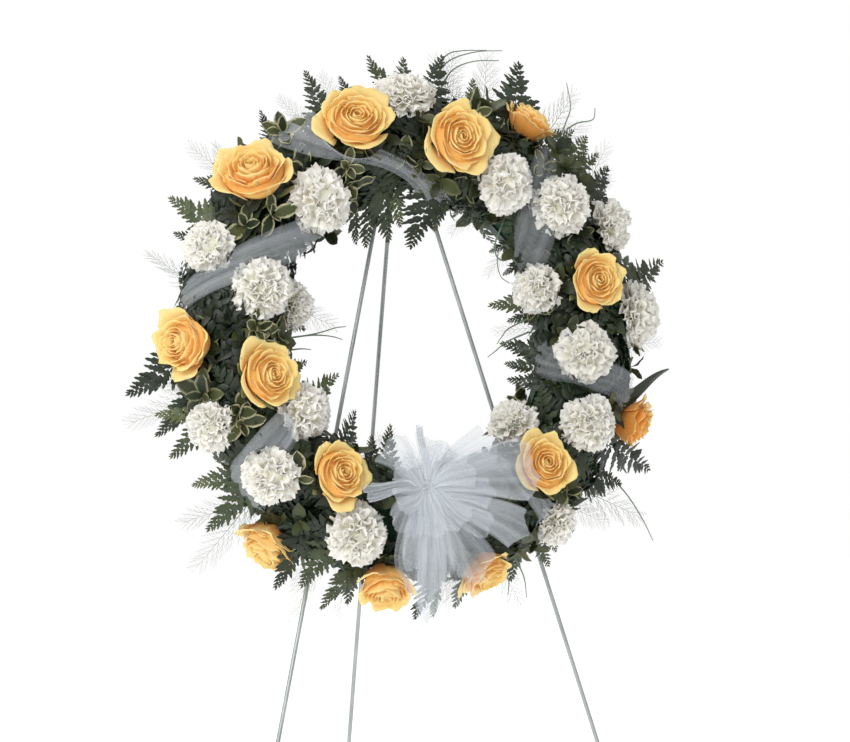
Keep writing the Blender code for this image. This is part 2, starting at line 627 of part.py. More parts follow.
def tails():
    centre = ring_point(BOW_CLOCK, BOW_U, BOW_V + 0.011 + 0.0050)
    down = Vector((0, 0, -1))
    half = 0.004
    verts, rings = hub_mesh(centre, down, X, 4, 1, half, 2 * half)
    faces, used = [], []
    for normal, bend_x, tip_x, drop, half_width in (
            (-X, -0.014, -0.016, 0.206, 0.0040), (down, 0.012, 0.034, 0.210, 0.0040),
            (X, 0.034, 0.064, 0.200, 0.0045)):
        start = centre + normal * half
        tip = centre + Vector((tip_x, -0.012, -drop))
        bend = centre + Vector((bend_x * 1.2, -0.013, -drop * 0.42))
        curve = bezier(start + normal * 0.006, bend, tip, 16)
        points = [start] + [curve[k] for k in (0, 2, 5, 9, 12, 16)]
        widths = [0.1, 0.0030, half_width * 0.8, half_width, half_width, half_width, half_width * 0.9]
        root = hub_quad(rings, verts, normal, centre, half)
        used.append(frozenset(root))
        grow(verts, faces, root, points, widths, 0.0008, True, X if normal == down else Vector((0, 0, 1)))
    close_hub(faces, rings, used)
    solid("tulle_tails", verts, faces, COLOURS["tulle"], 0.8, smooth=False)


def garland(cutter):
    """One long band that crosses the front of the ring five times and passes behind it in between."""
    front = [(0.0450, 0.012), (0.0455, 0.034), (0.0395, 0.0525), (0.0265, 0.0620), (0.0095, 0.0670),
             (-0.0095, 0.0670), (-0.0265, 0.0620), (-0.0395, 0.0525), (-0.0455, 0.034), (-0.0450, 0.012)]
    behind = [(-0.0440, -0.0004), (-0.0385, -0.0026), (-0.0130, -0.0023), (0.0130, -0.0023),
              (0.0385, -0.0026), (0.0440, -0.0004)]
    stations = []
    for index, (outer, inner) in enumerate(zip(BAND_OUTER, BAND_INNER)):
        travel = (inner - outer) % 360
        for k, (u, v) in enumerate(front):
            share = (1 - cos(pi * k / (len(front) - 1))) / 2
            stations.append((outer + travel * share, u, v))
        if index + 1 < len(BAND_OUTER):
            gap = (BAND_OUTER[index + 1] - inner) % 360
            for k, (u, v) in enumerate(behind):
                stations.append((inner + gap * (k + 1) / (len(behind) + 1), u, v))
    points = [ring_point(*station) for station in stations]
    verts = []
    for i, (clock, u, v) in enumerate(stations):
        near = stations[max(i - 1, 0)], stations[min(i + 1, len(stations) - 1)]
        radial, along = clock_axes(clock)
        run_u, run_v = near[1][1] - near[0][1], near[1][2] - near[0][2]
        outward = (radial * run_v - OUT * run_u).normalized()
        if (radial * u + OUT * (v - TUBE_V)).dot(outward) < 0:
            outward = -outward
        across = along * BAND_HALF_WIDTH
        for a, b in ((-1, -1), (1, -1), (1, 1), (-1, 1)):
            verts.append(points[i] + a * across + b * TULLE_HALF * outward)
    band = solid("tulle_garland", verts, ring_faces(len(stations), 4), COLOURS["tulle"], 0.8, smooth=False)
    drill(band, cutter)


clear_scene()
easel()
cutter = stem_cutter()
wreath_base(cutter)
for name, spec in ROSES.items():
    flower(name, spec, ROSE_OUTLINE, COLOURS["rose"], 5)
for name, spec in CARNATIONS.items():
    flower(name, spec, CARNATION_OUTLINE, COLOURS["carnation"], 6)
for name, (clock, edge, blades) in SPRAYS.items():
    spray(name, clock, edge, blades)
garland(cutter)
bow()
tails()
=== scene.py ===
import json
import random
from math import cos, pi, radians, sin

import bpy
import numpy as np
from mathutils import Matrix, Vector

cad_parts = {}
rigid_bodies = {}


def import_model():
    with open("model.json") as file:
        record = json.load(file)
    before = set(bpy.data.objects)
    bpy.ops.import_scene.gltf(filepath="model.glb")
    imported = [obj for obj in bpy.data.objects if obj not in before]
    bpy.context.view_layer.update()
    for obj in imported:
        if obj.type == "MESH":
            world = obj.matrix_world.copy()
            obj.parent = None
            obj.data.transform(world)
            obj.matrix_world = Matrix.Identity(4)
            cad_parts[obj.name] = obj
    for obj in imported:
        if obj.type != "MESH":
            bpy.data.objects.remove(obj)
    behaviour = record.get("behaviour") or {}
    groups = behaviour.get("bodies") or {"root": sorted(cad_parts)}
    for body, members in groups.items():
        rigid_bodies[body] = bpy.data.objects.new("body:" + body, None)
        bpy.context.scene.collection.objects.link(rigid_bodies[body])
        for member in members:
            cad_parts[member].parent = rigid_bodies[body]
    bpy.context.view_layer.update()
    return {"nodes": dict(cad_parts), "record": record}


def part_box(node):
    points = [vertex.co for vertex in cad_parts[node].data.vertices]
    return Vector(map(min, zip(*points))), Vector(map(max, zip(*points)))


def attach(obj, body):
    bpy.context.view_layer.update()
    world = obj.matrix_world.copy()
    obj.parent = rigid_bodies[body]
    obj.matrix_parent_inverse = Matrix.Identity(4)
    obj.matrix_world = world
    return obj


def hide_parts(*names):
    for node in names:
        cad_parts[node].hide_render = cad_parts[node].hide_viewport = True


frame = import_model()
print("frame loaded")

scene = bpy.context.scene
body = "stand_and_wreath"

# The ring's own axes and sizes, read off the frame
wreath = {
    "trayHalfWidth": 0.040, "trayFloor": 0.0012, "trayMargin": 0.0015,
    "tubeDepth": 0.030,       # middle of the foam, in front of the tray's back
    "stemSides": 12,          # corners of each ring of points along a stem
    "stemWidest": 0.003, "stemRadius": 0.0020, "headGap": 0.002,
    "rootReach": 0.026,       # from the middle of the foam to the foot of a frond
}
backMount = next(m for m in frame["record"]["mounts"] if m["name"] == "wreath_back")
outward = -np.array(backMount["axis"], float)
outward /= np.linalg.norm(outward)
across = np.array([1.0, 0.0, 0.0])
upward = np.cross(outward, across)
trayLow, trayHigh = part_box("ring_tray")
trayMiddle = np.array((trayLow + trayHigh) / 2)
ringCentre = trayMiddle - outward * ((trayMiddle - np.array(backMount["pos_m"])) @ outward)
ringRadius = (trayHigh.x - trayLow.x) / 2 - wreath["trayHalfWidth"]


def clockAxes(clock):
    turn = radians(clock)
    return sin(turn) * across + cos(turn) * upward, cos(turn) * across - sin(turn) * upward


def ringPoint(clock, u, v):
    return ringCentre + (ringRadius + u) * clockAxes(clock)[0] + v * outward


def tubePoint(clock, angle, reach):
    return ringPoint(clock, reach * cos(radians(angle)), wreath["tubeDepth"] + reach * sin(radians(angle)))


def offRing(points):
    flat = points - ringCentre
    return np.hypot(flat @ across, flat @ upward) - ringRadius, flat @ outward


def unit(vector):
    return vector / np.linalg.norm(vector)


def eased(low, high, share):
    return low + (high - low) * share


def curveAt(points, t):
    a, b, c, d = points
    return (1 - t) ** 3 * a + 3 * t * (1 - t) ** 2 * b + 3 * t * t * (1 - t) * c + t ** 3 * d


def smoothPath(points, steps):
    points = np.array(points, float)
    padded = np.concatenate([2 * points[:1] - points[1:2], points, 2 * points[-1:] - points[-2:-1]])
    path = []
    for k in range(len(points) - 1):
        a, b, c, d = padded[k:k + 4]
        for t in np.linspace(0, 1, steps, endpoint=False):
            path.append(0.5 * (2 * b + (c - a) * t + (2 * a - 5 * b + 4 * c - d) * t * t
                               + (3 * b - a - 3 * c + d) * t ** 3))
    return np.array(path + [points[-1]])


def stacked(x, y, z):
    return np.stack(np.broadcast_arrays(x, y, z), -1)


def turned(radius, angle, height):
    return stacked(radius * np.cos(angle), radius * np.sin(angle), height)


def gridLines(rows, columns):
    return np.linspace(0, 1, rows + 1)[:, None], np.linspace(-1, 1, columns + 1)[None, :]


# Meshes are put together from patches: points, a list of face arrays, values on the points, a material slot

def newPatch(points, faces, values, shape, slot=0):
    spread = {key: np.broadcast_to(v, shape).ravel() for key, v in values.items()}
    return {"points": points, "faces": faces, "values": spread, "slot": slot}


def gridFaces(shape):
    corner = np.arange(shape[0] * shape[1]).reshape(shape)
    quads = np.stack([corner[:-1, :-1], corner[:-1, 1:], corner[1:, 1:], corner[1:, :-1]], -1).reshape(-1, 4)
    return corner, quads


def openSheet(grid, values):
    shape = grid.shape[:2]
    return newPatch(grid.reshape(-1, 3), [gridFaces(shape)[1]], values, shape)


def closedSheet(grid, thickness, values, slot=0):
    corner, quads = gridFaces(grid.shape[:2])
    normals = np.cross(np.gradient(grid, axis=1), np.gradient(grid, axis=0))
    lift = normals / (np.linalg.norm(normals, axis=2, keepdims=True) + 1e-12) * thickness / 2
    rim = np.concatenate([corner[0, :-1], corner[:-1, -1], corner[-1, :0:-1], corner[:0:-1, 0]])
    ahead = np.roll(rim, -1)
    sides = np.stack([ahead, rim, rim + corner.size, ahead + corner.size], -1)
    points = np.concatenate([(grid + lift).reshape(-1, 3), (grid - lift).reshape(-1, 3)])
    return newPatch(points, [quads, quads[:, ::-1] + corner.size, sides], values, (2, *corner.shape), slot)


def ringSolid(rings, values, slot=0, flip=False):
    corner = np.arange(len(rings) * len(rings[0])).reshape(len(rings), -1)
    beside = np.roll(corner, -1, axis=1)
    walls = np.stack([corner[:-1], corner[1:], beside[1:], beside[:-1]], -1).reshape(-1, 4)
    caps = np.array([corner[0], corner[-1, ::-1]])
    if flip:
        walls, caps = walls[:, [0, 3, 2, 1]], caps[:, ::-1]
    return newPatch(np.concatenate(rings), [walls, caps], values, corner.shape, slot)


def tube(path, radii, sides, slot, values):
    path = np.array(path, float)
    side = np.array([0.31, 0.67, 0.59])                             # any direction that no path follows
    turns = 2 * pi * np.arange(sides) / sides
    rings = []
    for point, ahead, radius in zip(path, np.gradient(path, axis=0), np.broadcast_to(radii, len(path))):
        ahead = unit(ahead)
        side = unit(side - (side @ ahead) * ahead)
        rings.append(point + radius * (np.cos(turns)[:, None] * side
                                       + np.sin(turns)[:, None] * np.cross(ahead, side)))
    return ringSolid(rings, values, slot, True)


def placed(patch, matrix, origin):
    return {**patch, "points": patch["points"] @ matrix.T + origin}


def toned(patch, tone):
    return {**patch, "values": {**patch["values"], "tone": np.full(len(patch["points"]), tone)}}


def linked(name, data):
    thing = bpy.data.objects.new(name, data)
    scene.collection.objects.link(thing)
    return thing


def makePiece(name, patches, materials, rides=body, crease=None):
    starts = np.cumsum([0] + [len(p["points"]) for p in patches[:-1]])
    lots = [(faces + start, p["slot"]) for p, start in zip(patches, starts) for faces in p["faces"]]
    points = np.concatenate([p["points"] for p in patches])
    corners = np.concatenate([faces.ravel() for faces, slot in lots])
    sizes = np.concatenate([np.full(len(faces), faces.shape[1]) for faces, slot in lots])
    slots = np.concatenate([np.full(len(faces), slot) for faces, slot in lots])
    mesh = bpy.data.meshes.new(name)
    mesh.vertices.add(len(points))
    mesh.vertices.foreach_set("co", points.astype(np.float32).ravel())
    mesh.loops.add(len(corners))
    mesh.loops.foreach_set("vertex_index", corners.astype(np.int32))
    mesh.polygons.add(len(sizes))
    mesh.polygons.foreach_set("loop_start", (np.cumsum(sizes) - sizes).astype(np.int32))
    mesh.update(calc_edges=True)
    mesh.polygons.foreach_set("material_index", slots.astype(np.int32))
    mesh.polygons.foreach_set("use_smooth", np.ones(len(sizes), bool))
    if crease:
        mesh.set_sharp_from_angle(angle=radians(crease))
    for key in sorted({k for p in patches for k in p["values"]}):
        spread = np.concatenate([p["values"].get(key, np.zeros(len(p["points"]))) for p in patches])
        mesh.attributes.new(key, "FLOAT", "POINT").data.foreach_set("value", spread.astype(np.float32))
    for material in materials:
        mesh.materials.append(material)
    piece = linked(name, mesh)
    if rides:
        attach(piece, rides)
    return piece


def readOut(items, key, width):
    found = np.zeros(len(items) * width, np.float32)
    items.foreach_get(key, found)
    return found


def patchOf(mesh, keys, slot=0):
    faces = [tuple(p.vertices) for p in mesh.polygons]
    sorts = [np.array([f for f in faces if len(f) == n]) for n in sorted({len(f) for f in faces})]
    values = {key: readOut(mesh.attributes[key].data, "value", 1) if key in mesh.attributes else 0.0
              for key in keys}
    points = readOut(mesh.vertices, "co", 3).reshape(-1, 3).astype(float)
    return newPatch(points, sorts, values, len(points), slot)


# Node trees, for Geometry Nodes and for materials alike

work = {}                                                           # the tree that nodes are now put in


class nodeValue:                                                    # a node's output: sums on it make nodes
    def __init__(self, socket):
        self.socket = socket

    def __add__(self, other):
        return mathNode("ADD", self, other)

    def __sub__(self, other):
        return mathNode("SUBTRACT", self, other)

    def __rsub__(self, other):
        return mathNode("SUBTRACT", other, self)

    def __mul__(self, other):
        return mathNode("MULTIPLY", self, other)

    def __truediv__(self, other):
        return mathNode("DIVIDE", self, other)

    def __rtruediv__(self, other):
        return mathNode("DIVIDE", other, self)

    def __pow__(self, other):
        return mathNode("POWER", self, other)


def connect(value, socket):
    if isinstance(value, nodeValue):
        socket.id_data.links.new(value.socket, socket)
    else:
        socket.default_value = value


def put(kind, values=None, output=None, **settings):
    node = work["tree"].nodes.new(kind)
    for key, value in settings.items():
        setattr(node, key, value)
    for key, value in (values or {}).items():
        connect(value, node.inputs[key] if isinstance(key, int) else next(
            s for s in node.inputs if s.name == key and s.enabled))
    return nodeValue(next(s for s in node.outputs if s.enabled and output in (None, s.name)))


def mathNode(operation, first, second=0.0):
    return put("ShaderNodeMath", {0: first, 1: second}, operation=operation)


def combined(x=0.0, y=0.0, z=0.0):
    return put("ShaderNodeCombineXYZ", {"X": x, "Y": y, "Z": z})


def mapped(value, low, high, start, end):
    return put("ShaderNodeMapRange", {"Value": value, "From Min": low, "From Max": high, "To Min": start,
                                      "To Max": end})


def attribute(name):
    return put("ShaderNodeAttribute", output="Fac", attribute_name=name)


def ownPlace():
    return put("ShaderNodeTexCoord", output="Object")


def noise(scale, detail=3.0, vector=None):
    return put("ShaderNodeTexNoise", {"Vector": vector or ownPlace(), "Scale": scale, "Detail": detail,
                                      "Roughness": 0.55}, "Fac")


def ramp(factor, *stops):
    colour = put("ShaderNodeValToRGB", {"Fac": factor}, "Color")
    band = colour.socket.node.color_ramp
    while len(band.elements) < len(stops):
        band.elements.new(0.5)
    for element, (place, *shade) in zip(band.elements, stops):
        element.position = place
        element.color = (*shade, 1.0)
    return colour


def mixed(share, first, second):
    return put("ShaderNodeMix", {0: share, 6: first, 7: second}, data_type="RGBA")


def tint(shader, colour):
    connect(colour, shader.inputs["Base Color"])


def bump(shader, height, strength, distance):
    connect(put("ShaderNodeBump", {"Height": height, "Strength": strength, "Distance": distance}),
            shader.inputs["Normal"])


def newMaterial(name, fixed):
    material = bpy.data.materials.new(name)
    material.use_nodes = True
    work["tree"] = material.node_tree
    shader = material.node_tree.nodes["Principled BSDF"]
    for key, value in fixed.items():
        shader.inputs[key].default_value = value
    return material, shader


def plainMaterial(name, fixed, shade, stops, height=None, strength=0.0, distance=0.0):
    material, shader = newMaterial(name, fixed)
    tint(shader, ramp(shade(), *stops))
    if height:
        bump(shader, height(), strength, distance)
    return material


def newTree(name, inputs):
    work["tree"] = tree = bpy.data.node_groups.new(name, "GeometryNodeTree")
    tree.interface.new_socket("Geometry", in_out="INPUT", socket_type="NodeSocketGeometry")
    for label, value in inputs.items():
        kind = value if isinstance(value, str) else {int: "Int", float: "Float"}[type(value)]
        socket = tree.interface.new_socket(label, in_out="INPUT", socket_type="NodeSocket" + kind)
        if kind != value:
            socket.default_value = value
    tree.interface.new_socket("Geometry", in_out="OUTPUT", socket_type="NodeSocketGeometry")
    return tree, {s.name: nodeValue(s) for s in tree.nodes.new("NodeGroupInput").outputs}


def shaken(given, low, high, more):
    return put("FunctionNodeRandomValue", {"Min": low, "Max": high, "Seed": given["Seed"] + float(more)})


def setOn(count, place, kinds, index, rotation, size):
    spots = put("GeometryNodePoints", {"Count": count, "Position": place})
    kinds = put("GeometryNodeCollectionInfo", {"Collection": kinds, "Separate Children": True,
                                               "Reset Children": True})
    return put("GeometryNodeInstanceOnPoints", {
        "Points": spots, "Instance": kinds, "Pick Instance": True, "Instance Index": index,
        "Rotation": rotation, "Scale": size})


def closeTree(tree, geometry, material):
    painted = put("GeometryNodeSetMaterial", {"Geometry": geometry, "Material": material})
    connect(painted, tree.nodes.new("NodeGroupOutput").inputs[0])
    return tree


def grownMesh(tree, values, name):
    thing = linked(name, bpy.data.meshes.new(name + "Start"))
    modifier = thing.modifiers.new("grow", "NODES")
    modifier.node_group = tree
    for item in tree.interface.items_tree:
        if item.item_type == "SOCKET" and item.in_out == "INPUT" and item.name in values:
            modifier[item.identifier] = values[item.name]
    thing.update_tag()
    graph = bpy.context.evaluated_depsgraph_get()
    mesh = bpy.data.meshes.new_from_object(thing.evaluated_get(graph), depsgraph=graph)
    bpy.data.objects.remove(thing)
    return mesh


def kindsOf(name, patches):
    group = bpy.data.collections.new(name)
    scene.collection.children.link(group)
    for k, patch in enumerate(patches):
        thing = makePiece(f"{name}{k}", [patch], [], rides=None)
        scene.collection.objects.unlink(thing)
        group.objects.link(thing)
    return group


def dropKinds(group):
    for thing in list(group.objects):
        bpy.data.objects.remove(thing)
    bpy.data.collections.remove(group)


# Camera and light

view = {
    "aim": (0.048, -0.005, 0.903), "distance": 3.2, "azimuth": -25, "elevation": 3,
    "fieldWidth": 0.9945,                         # what the camera takes in at the aim, in metres
}


def placeCamera():
    turn, rise = radians(view["azimuth"]), radians(view["elevation"])
    back = Vector((sin(turn) * cos(rise), -cos(turn) * cos(rise), sin(rise)))
    camera = linked("camera", bpy.data.cameras.new("camera"))
    camera.location = Vector(view["aim"]) + back * view["distance"]
    camera.rotation_euler = (-back).to_track_quat("-Z", "Y").to_euler()
    camera.data.sensor_width = 36
    camera.data.lens = camera.data.sensor_width * view["distance"] / view["fieldWidth"]
    scene.camera = camera


studio = {
    "sky": 0.64, "floorSize": 9.0, "floorGlow": 0.52, "white": (1.0, 1.0, 1.0, 1.0),
    # place, size, power
    "lamps": {"keyLight": ((-1.75, -1.45, 2.0), 1.4, 30), "fillLight": ((2.4, -2.2, 1.6), 1.8, 1.5),
              "topLight": ((-0.3, 0.9, 2.9), 1.5, 16)},
    "lampAim": (0, -0.05, 0.95),
}


def placeLights():
    world = scene.world = bpy.data.worlds.new("paleRoom")
    world.use_nodes = True
    work["tree"] = world.node_tree
    ground = world.node_tree.nodes["Background"]
    ground.inputs["Color"].default_value = studio["white"]
    ground.inputs["Strength"].default_value = studio["sky"]
    seen = put("ShaderNodeBackground", {"Color": studio["white"], "Strength": 1.0})
    seenShare = put("ShaderNodeLightPath", output="Is Camera Ray")
    both = put("ShaderNodeMixShader", {0: seenShare, 1: nodeValue(ground.outputs[0]), 2: seen})
    connect(both, world.node_tree.nodes["World Output"].inputs["Surface"])
    for name, (place, size, power) in studio["lamps"].items():
        lamp = linked(name, bpy.data.lights.new(name, "AREA"))
        lamp.data.size, lamp.data.energy = size, power
        lamp.location = place
        lamp.rotation_euler = (Vector(studio["lampAim"]) - Vector(place)).to_track_quat("-Z", "Y").to_euler()
    half = studio["floorSize"] / 2
    mesh = bpy.data.meshes.new("floor")
    corners = [(-half, -half, 0), (half, -half, 0), (half, half, 0), (-half, half, 0)]
    mesh.from_pydata(corners, [], [range(4)])
    floor = linked("floor", mesh)
    fixed = {"Roughness": 0.8, "Emission Color": studio["white"], "Emission Strength": studio["floorGlow"]}
    mesh.materials.append(plainMaterial("paleFloor", fixed, lambda: noise(3.0), [
        (0.3, 0.93, 0.93, 0.93), (0.7, 0.97, 0.97, 0.97)]))
    scene.view_settings.view_transform = "Standard"
    scene.cycles.transparent_max_bounces = 28
    scene.cycles.max_bounces = 16
    scene.cycles.diffuse_bounces = 10


placeCamera()
placeLights()
print("camera and lights placed")

# Flowers stand where the frame's stems end

greenSlot = 1                                                       # of stems and sepals, on every flower
heads = []


def flowerPlace(node, kind, shape, lean=(0, 0, 0)):
    mesh = frame["nodes"][node].data
    points = readOut(mesh.vertices, "co", 3).reshape(-1, 3).astype(float)
    points = np.unique(np.round(points, 6), axis=0)
    radial, depth = offRing(points)
    # from the middle of the foam outwards come the rings of the stem, and then the head
    order = points[np.argsort(np.hypot(radial, depth - wreath["tubeDepth"]))]
    size, sides = 0, wreath["stemSides"]
    stem = []
    while True:
        ring = order[size:size + sides]
        middle = ring.mean(0)
        if np.linalg.norm(ring - middle, axis=1).max() > wreath["stemWidest"]:
            break
        stem.append(middle)
        size += sides
    facing = unit(order[size:].mean(0) - stem[-1])
    away = order[size:] - stem[-1]
    radius = np.linalg.norm(away - (away @ facing)[:, None] * facing, axis=1).max() / (1 + kind["lobe"])
    facing = unit(facing + lean[0] * upward + lean[1] * across + lean[2] * outward)
    side = unit(np.cross(upward if abs(facing @ upward) < 0.9 else across, facing))
    axes = np.stack([side, np.cross(facing, side), facing], 1)
    wide, tall = shape
    axes += (wide - 1) * np.outer(across, across @ axes) + (tall - 1) * np.outer(upward, upward @ axes)
    head = stem[-1] + facing * (kind["neck"] * radius + wreath["headGap"])
    heads.append({"stem": stem, "head": head, "radius": radius, "axes": axes})
    return heads[-1]


def onHead(place, patches):
    return [placed(p, place["axes"] * place["radius"], place["head"]) for p in patches]


def greenParts(place, profile):
    cup = tube([(0, 0, height) for radius, height in profile], [r for r, h in profile], 12, greenSlot,
               {"rim": 0.2})
    return onHead(place, [cup]) + [tube(place["stem"], wreath["stemRadius"], 8, greenSlot, {"rim": 0.0})]


rose = {
    # sizes are shares of the head's radius
    "petals": 24, "rows": 10, "columns": 12, "turnEach": radians(137.5),
    "heart": 0.05, "rim": 0.97, "spread": 1.30,   # radii of the first and last petal, and how they step out
    "stray": 0.052,                               # how far a petal's middle lies off the flower's own
    # each of these for the innermost petal and for the outermost
    "thickness": (0.0072, 0.0099), "neckIn": (1.0, 0.80), "rimDrop": (0.46, 0.15), "sideDrop": (0.05, 0.17),
    "flare": (0.015, 0.115), "drop": (0.0, 0.150), "wave": (0.012, 0.055), "flutter": (0.004, 0.030),
    "halfTurn": (105, 46),                        # degrees that half a petal spans
    "foot": (0.05, -0.66), "frill": (0.022, 0.036),                   # outwards, and up
    "rollFrom": 0.74,                             # share of a petal's length where its rim starts to roll
    "outer": 0.62,                                # petals beyond this share of the way out roll back
    "filler": 0.30, "fillerReach": 0.66,          # the inner mass: depth below the rims, and width
    "neck": 0.78, "lobe": 0.07, "sepals": 5, "sepalBase": -0.68,
    "cup": [(0.05, -0.80), (0.12, -0.76), (0.15, -0.70), (0.12, -0.62), (0.06, -0.58)],
    "open": {"rose_06": 1.05, "rose_10": 1.05},   # these have opened further than the rest
    # how wide and how tall each bloom has grown
    "shapes": {
        "rose_01": (1.13, 1.05), "rose_02": (1.18, 1.02), "rose_03": (1.10, 1.22), "rose_04": (1.12, 1.12),
        "rose_05": (0.95, 1.02), "rose_06": (1.26, 0.92), "rose_07": (0.98, 1.10), "rose_08": (1.12, 1.10),
        "rose_09": (1.08, 1.22), "rose_10": (1.18, 1.30), "rose_11": (0.98, 1.02), "rose_12": (1.06, 1.10),
        "rose_13": (1.18, 1.00)},
    # how far each leans up, to the right and forward
    "leans": {
        "rose_01": (0.42, -0.06, 0), "rose_02": (-0.10, 0, 0), "rose_08": (-0.35, 0.35, 0),
        "rose_10": (0, 0, 0.34), "rose_12": (0.08, 0.22, 0), "rose_13": (0.05, -0.30, 0)},
    # painted shade darkening each bloom (painted light where negative), and another throw of the dice
    "paintedShade": {"rose_01": 0.05, "rose_04": 0.12, "rose_06": 0.28, "rose_08": 0.06, "rose_10": -0.10},
    "dice": {"rose_02": "d", "rose_03": "b"},
}


def crownHeight(share):
    return 0.36 + 0.42 * share - 0.70 * share ** 2


def roseHeart():
    reach = np.linspace(0.02, rose["fillerReach"], 12)
    share = np.clip((reach - rose["heart"]) / (rose["rim"] - rose["heart"]), 0, 1) ** (1 / rose["spread"])
    rings = [(r, crownHeight(k) - rose["filler"] * (0.7 + 0.6 * k)) for r, k in zip(reach, share)]
    rings += [(rose["fillerReach"] * 0.8, -0.30), (0.25, -0.55)]
    turns = np.linspace(0, 2 * pi, 29)[:-1]
    points = [turned(r * (1 + 0.03 * np.sin(3 * turns + 9 * r)), turns, h + 0.02 * np.sin(5 * turns + 20 * r))
              for r, h in rings]
    return ringSolid(points, {"layer": 0.1, "rim": 0.1, "span": turns, "back": 0.0})


# layer runs from the heart to the outermost petal, rim from a petal's foot to its rim, span from side to side

def rosePetal(share, turn, rng, opening):
    outer = share > rose["outer"]
    t, s = gridLines(rose["rows"], rose["columns"])
    rim = eased(rose["heart"], rose["rim"], share ** rose["spread"]) * eased(1.0, opening, share)
    rim *= rng.uniform(0.90, 1.04) if outer else rng.uniform(0.97, 1.03)
    crown = crownHeight(share) + rng.uniform(-0.025, 0.025)
    halfTurn = radians(eased(*rose["halfTurn"], share ** 0.6)) * rng.uniform(0.88, 1.10)
    angle = turn + s * halfTurn * (0.32 + 0.68 * np.sin(pi / 2 * np.clip(t * 1.15, 0, 1)))
    tip = rng.uniform(0.03, 0.11) if outer else 0.03                # the small point in the middle of the rim
    point = tip * share * np.exp(-(s / 0.28) ** 2)
    outline = t * (1 - eased(*rose["sideDrop"], share) * np.abs(s) ** 2.4 + point * t)
    foot, base = rose["foot"]
    belly = rim * eased(*rose["neckIn"], share) + 0.10 * (1 - share)
    radius = curveAt((foot, 0.10 + 0.44 * share, belly, rim), outline)
    height = curveAt((base, base + 0.09 * share, crown - eased(*rose["rimDrop"], share), crown), outline)
    roll = np.clip((outline - rose["rollFrom"]) / 0.26, 0, 1) ** 2
    flare = eased(*rose["flare"], share) * rng.uniform(0.8, 1.12)
    drop = eased(*rose["drop"], share ** 1.2) * rng.uniform(0.5, 1.3)
    sides = 0.42 + 0.62 * np.abs(s) ** 1.6
    radius = radius + roll * flare * (sides if not outer else 1 - 1.5 * np.abs(s) ** 1.8)
    height = height - roll * drop * (sides if not outer else 0.3 + 1.5 * np.abs(s) ** 1.8)
    lean = rng.uniform(-0.5, 0.5)
    waves = np.sin(s * rng.uniform(3.4, 6.4) + lean * 6)
    height = height + t ** 3 * eased(*rose["wave"], share) * waves + t ** 2 * 0.05 * lean * s
    radius = radius + (0.010 + 0.030 * share) * s * t + t ** 3 * eased(*rose["flutter"], share) * np.sin(
        s * rng.uniform(5, 9) + lean * 9)
    frill = share * t ** 7 * np.sin(s * rng.uniform(10, 15) + lean * 20)
    radius, height = radius + rose["frill"][0] * frill, height + rose["frill"][1] * frill
    astray = np.array([rng.uniform(-1, 1), rng.uniform(-1, 1), 0.0])
    grid = turned(np.maximum(radius, 0.012), angle, height)
    grid = grid + rose["stray"] * share ** 0.7 * t[..., None] * astray
    values = {"layer": share, "rim": t, "span": s}
    sheet = closedSheet(grid[:, ::-1], eased(*rose["thickness"], share), values)
    sheet["values"]["back"] = np.repeat([0.0, 1.0], len(sheet["points"]) // 2)  # the inner side comes first
    return sheet


def sepals(rng):
    patches = []
    for k in range(rose["sepals"]):
        t, s = gridLines(7, 4)
        bend, base = rng.uniform(0.8, 1.2), rose["sepalBase"]
        radius = curveAt((0.08, 0.36, 0.66, 0.80 * bend), t)
        height = curveAt((base, base - 0.05, base + 0.12, base + 0.38 / bend), t) - 0.05 * np.abs(s)
        half = 0.13 * np.sin(pi * np.clip(t * 0.86 + 0.14, 0, 1)) ** 0.8 + 0.006
        angle = 2 * pi * (k + rng.uniform(-0.1, 0.1)) / rose["sepals"] + s * half / np.maximum(radius, 0.15)
        patches.append(closedSheet(turned(radius, angle, height)[:, ::-1], 0.014, {"rim": t}, greenSlot))
    return patches


def buildRose(name):
    place = flowerPlace(name, rose, rose["shapes"][name], rose["leans"].get(name, (0, 0, 0)))
    rng = random.Random(name + rose["dice"].get(name, ""))
    turn = rng.uniform(0, 2 * pi)
    patches = []
    for k in range(rose["petals"]):
        patches.append(rosePetal(k / (rose["petals"] - 1), turn, rng, rose["open"].get(name, 1.0)))
        turn += rose["turnEach"] + rng.uniform(-0.12, 0.12)
    # each petal carries its bloom's painted shade as its tone
    patches = [toned(p, rose["paintedShade"].get(name, 0.0)) for p in patches + [roseHeart()]]
    patches = onHead(place, patches + sepals(rng)) + greenParts(place, rose["cup"])
    piece = makePiece(name + "_bloom", patches, [rosePetalFinish, sepalFinish])
    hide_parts(name)


def rosePetalMaterial():
    material, shader = newMaterial("rosePetalFinish", {
        "Roughness": 0.55, "Subsurface Weight": 0.5, "Subsurface Radius": (1.0, 0.60, 0.25),
        "Subsurface Scale": 0.001, "Sheen Weight": 0.10, "Sheen Roughness": 0.5, "Specular IOR Level": 0.3})
    layer, rim, span, back, paintedShade = map(attribute, ("layer", "rim", "span", "back", "tone"))
    # the tone attribute carries each bloom's painted shade, which darkens both ramps (painted light where
    # negative)
    face = ramp(layer * 0.47 + rim * 0.38 + (noise(55.0) - 0.5) * 0.30 - paintedShade,
                (0.0, 0.80, 0.44, 0.11), (0.10, 0.86, 0.51, 0.145), (0.36, 0.87, 0.60, 0.21),
                (0.62, 0.88, 0.65, 0.25), (0.88, 0.89, 0.70, 0.305))
    reverse = ramp(rim + noise(1.6, 3.0, combined(span * 7.0, rim, layer)) * 0.30 - paintedShade,
                   (0.45, 0.60, 0.225, 0.035), (0.85, 0.78, 0.39, 0.09), (1.14, 0.88, 0.63, 0.26))
    tint(shader, mixed(back, face, reverse))
    bump(shader, noise(3.0, 4.0, combined(span * 16.0, rim * 1.6)), 0.25, 0.0006)  # veins from heart to rim
    return material


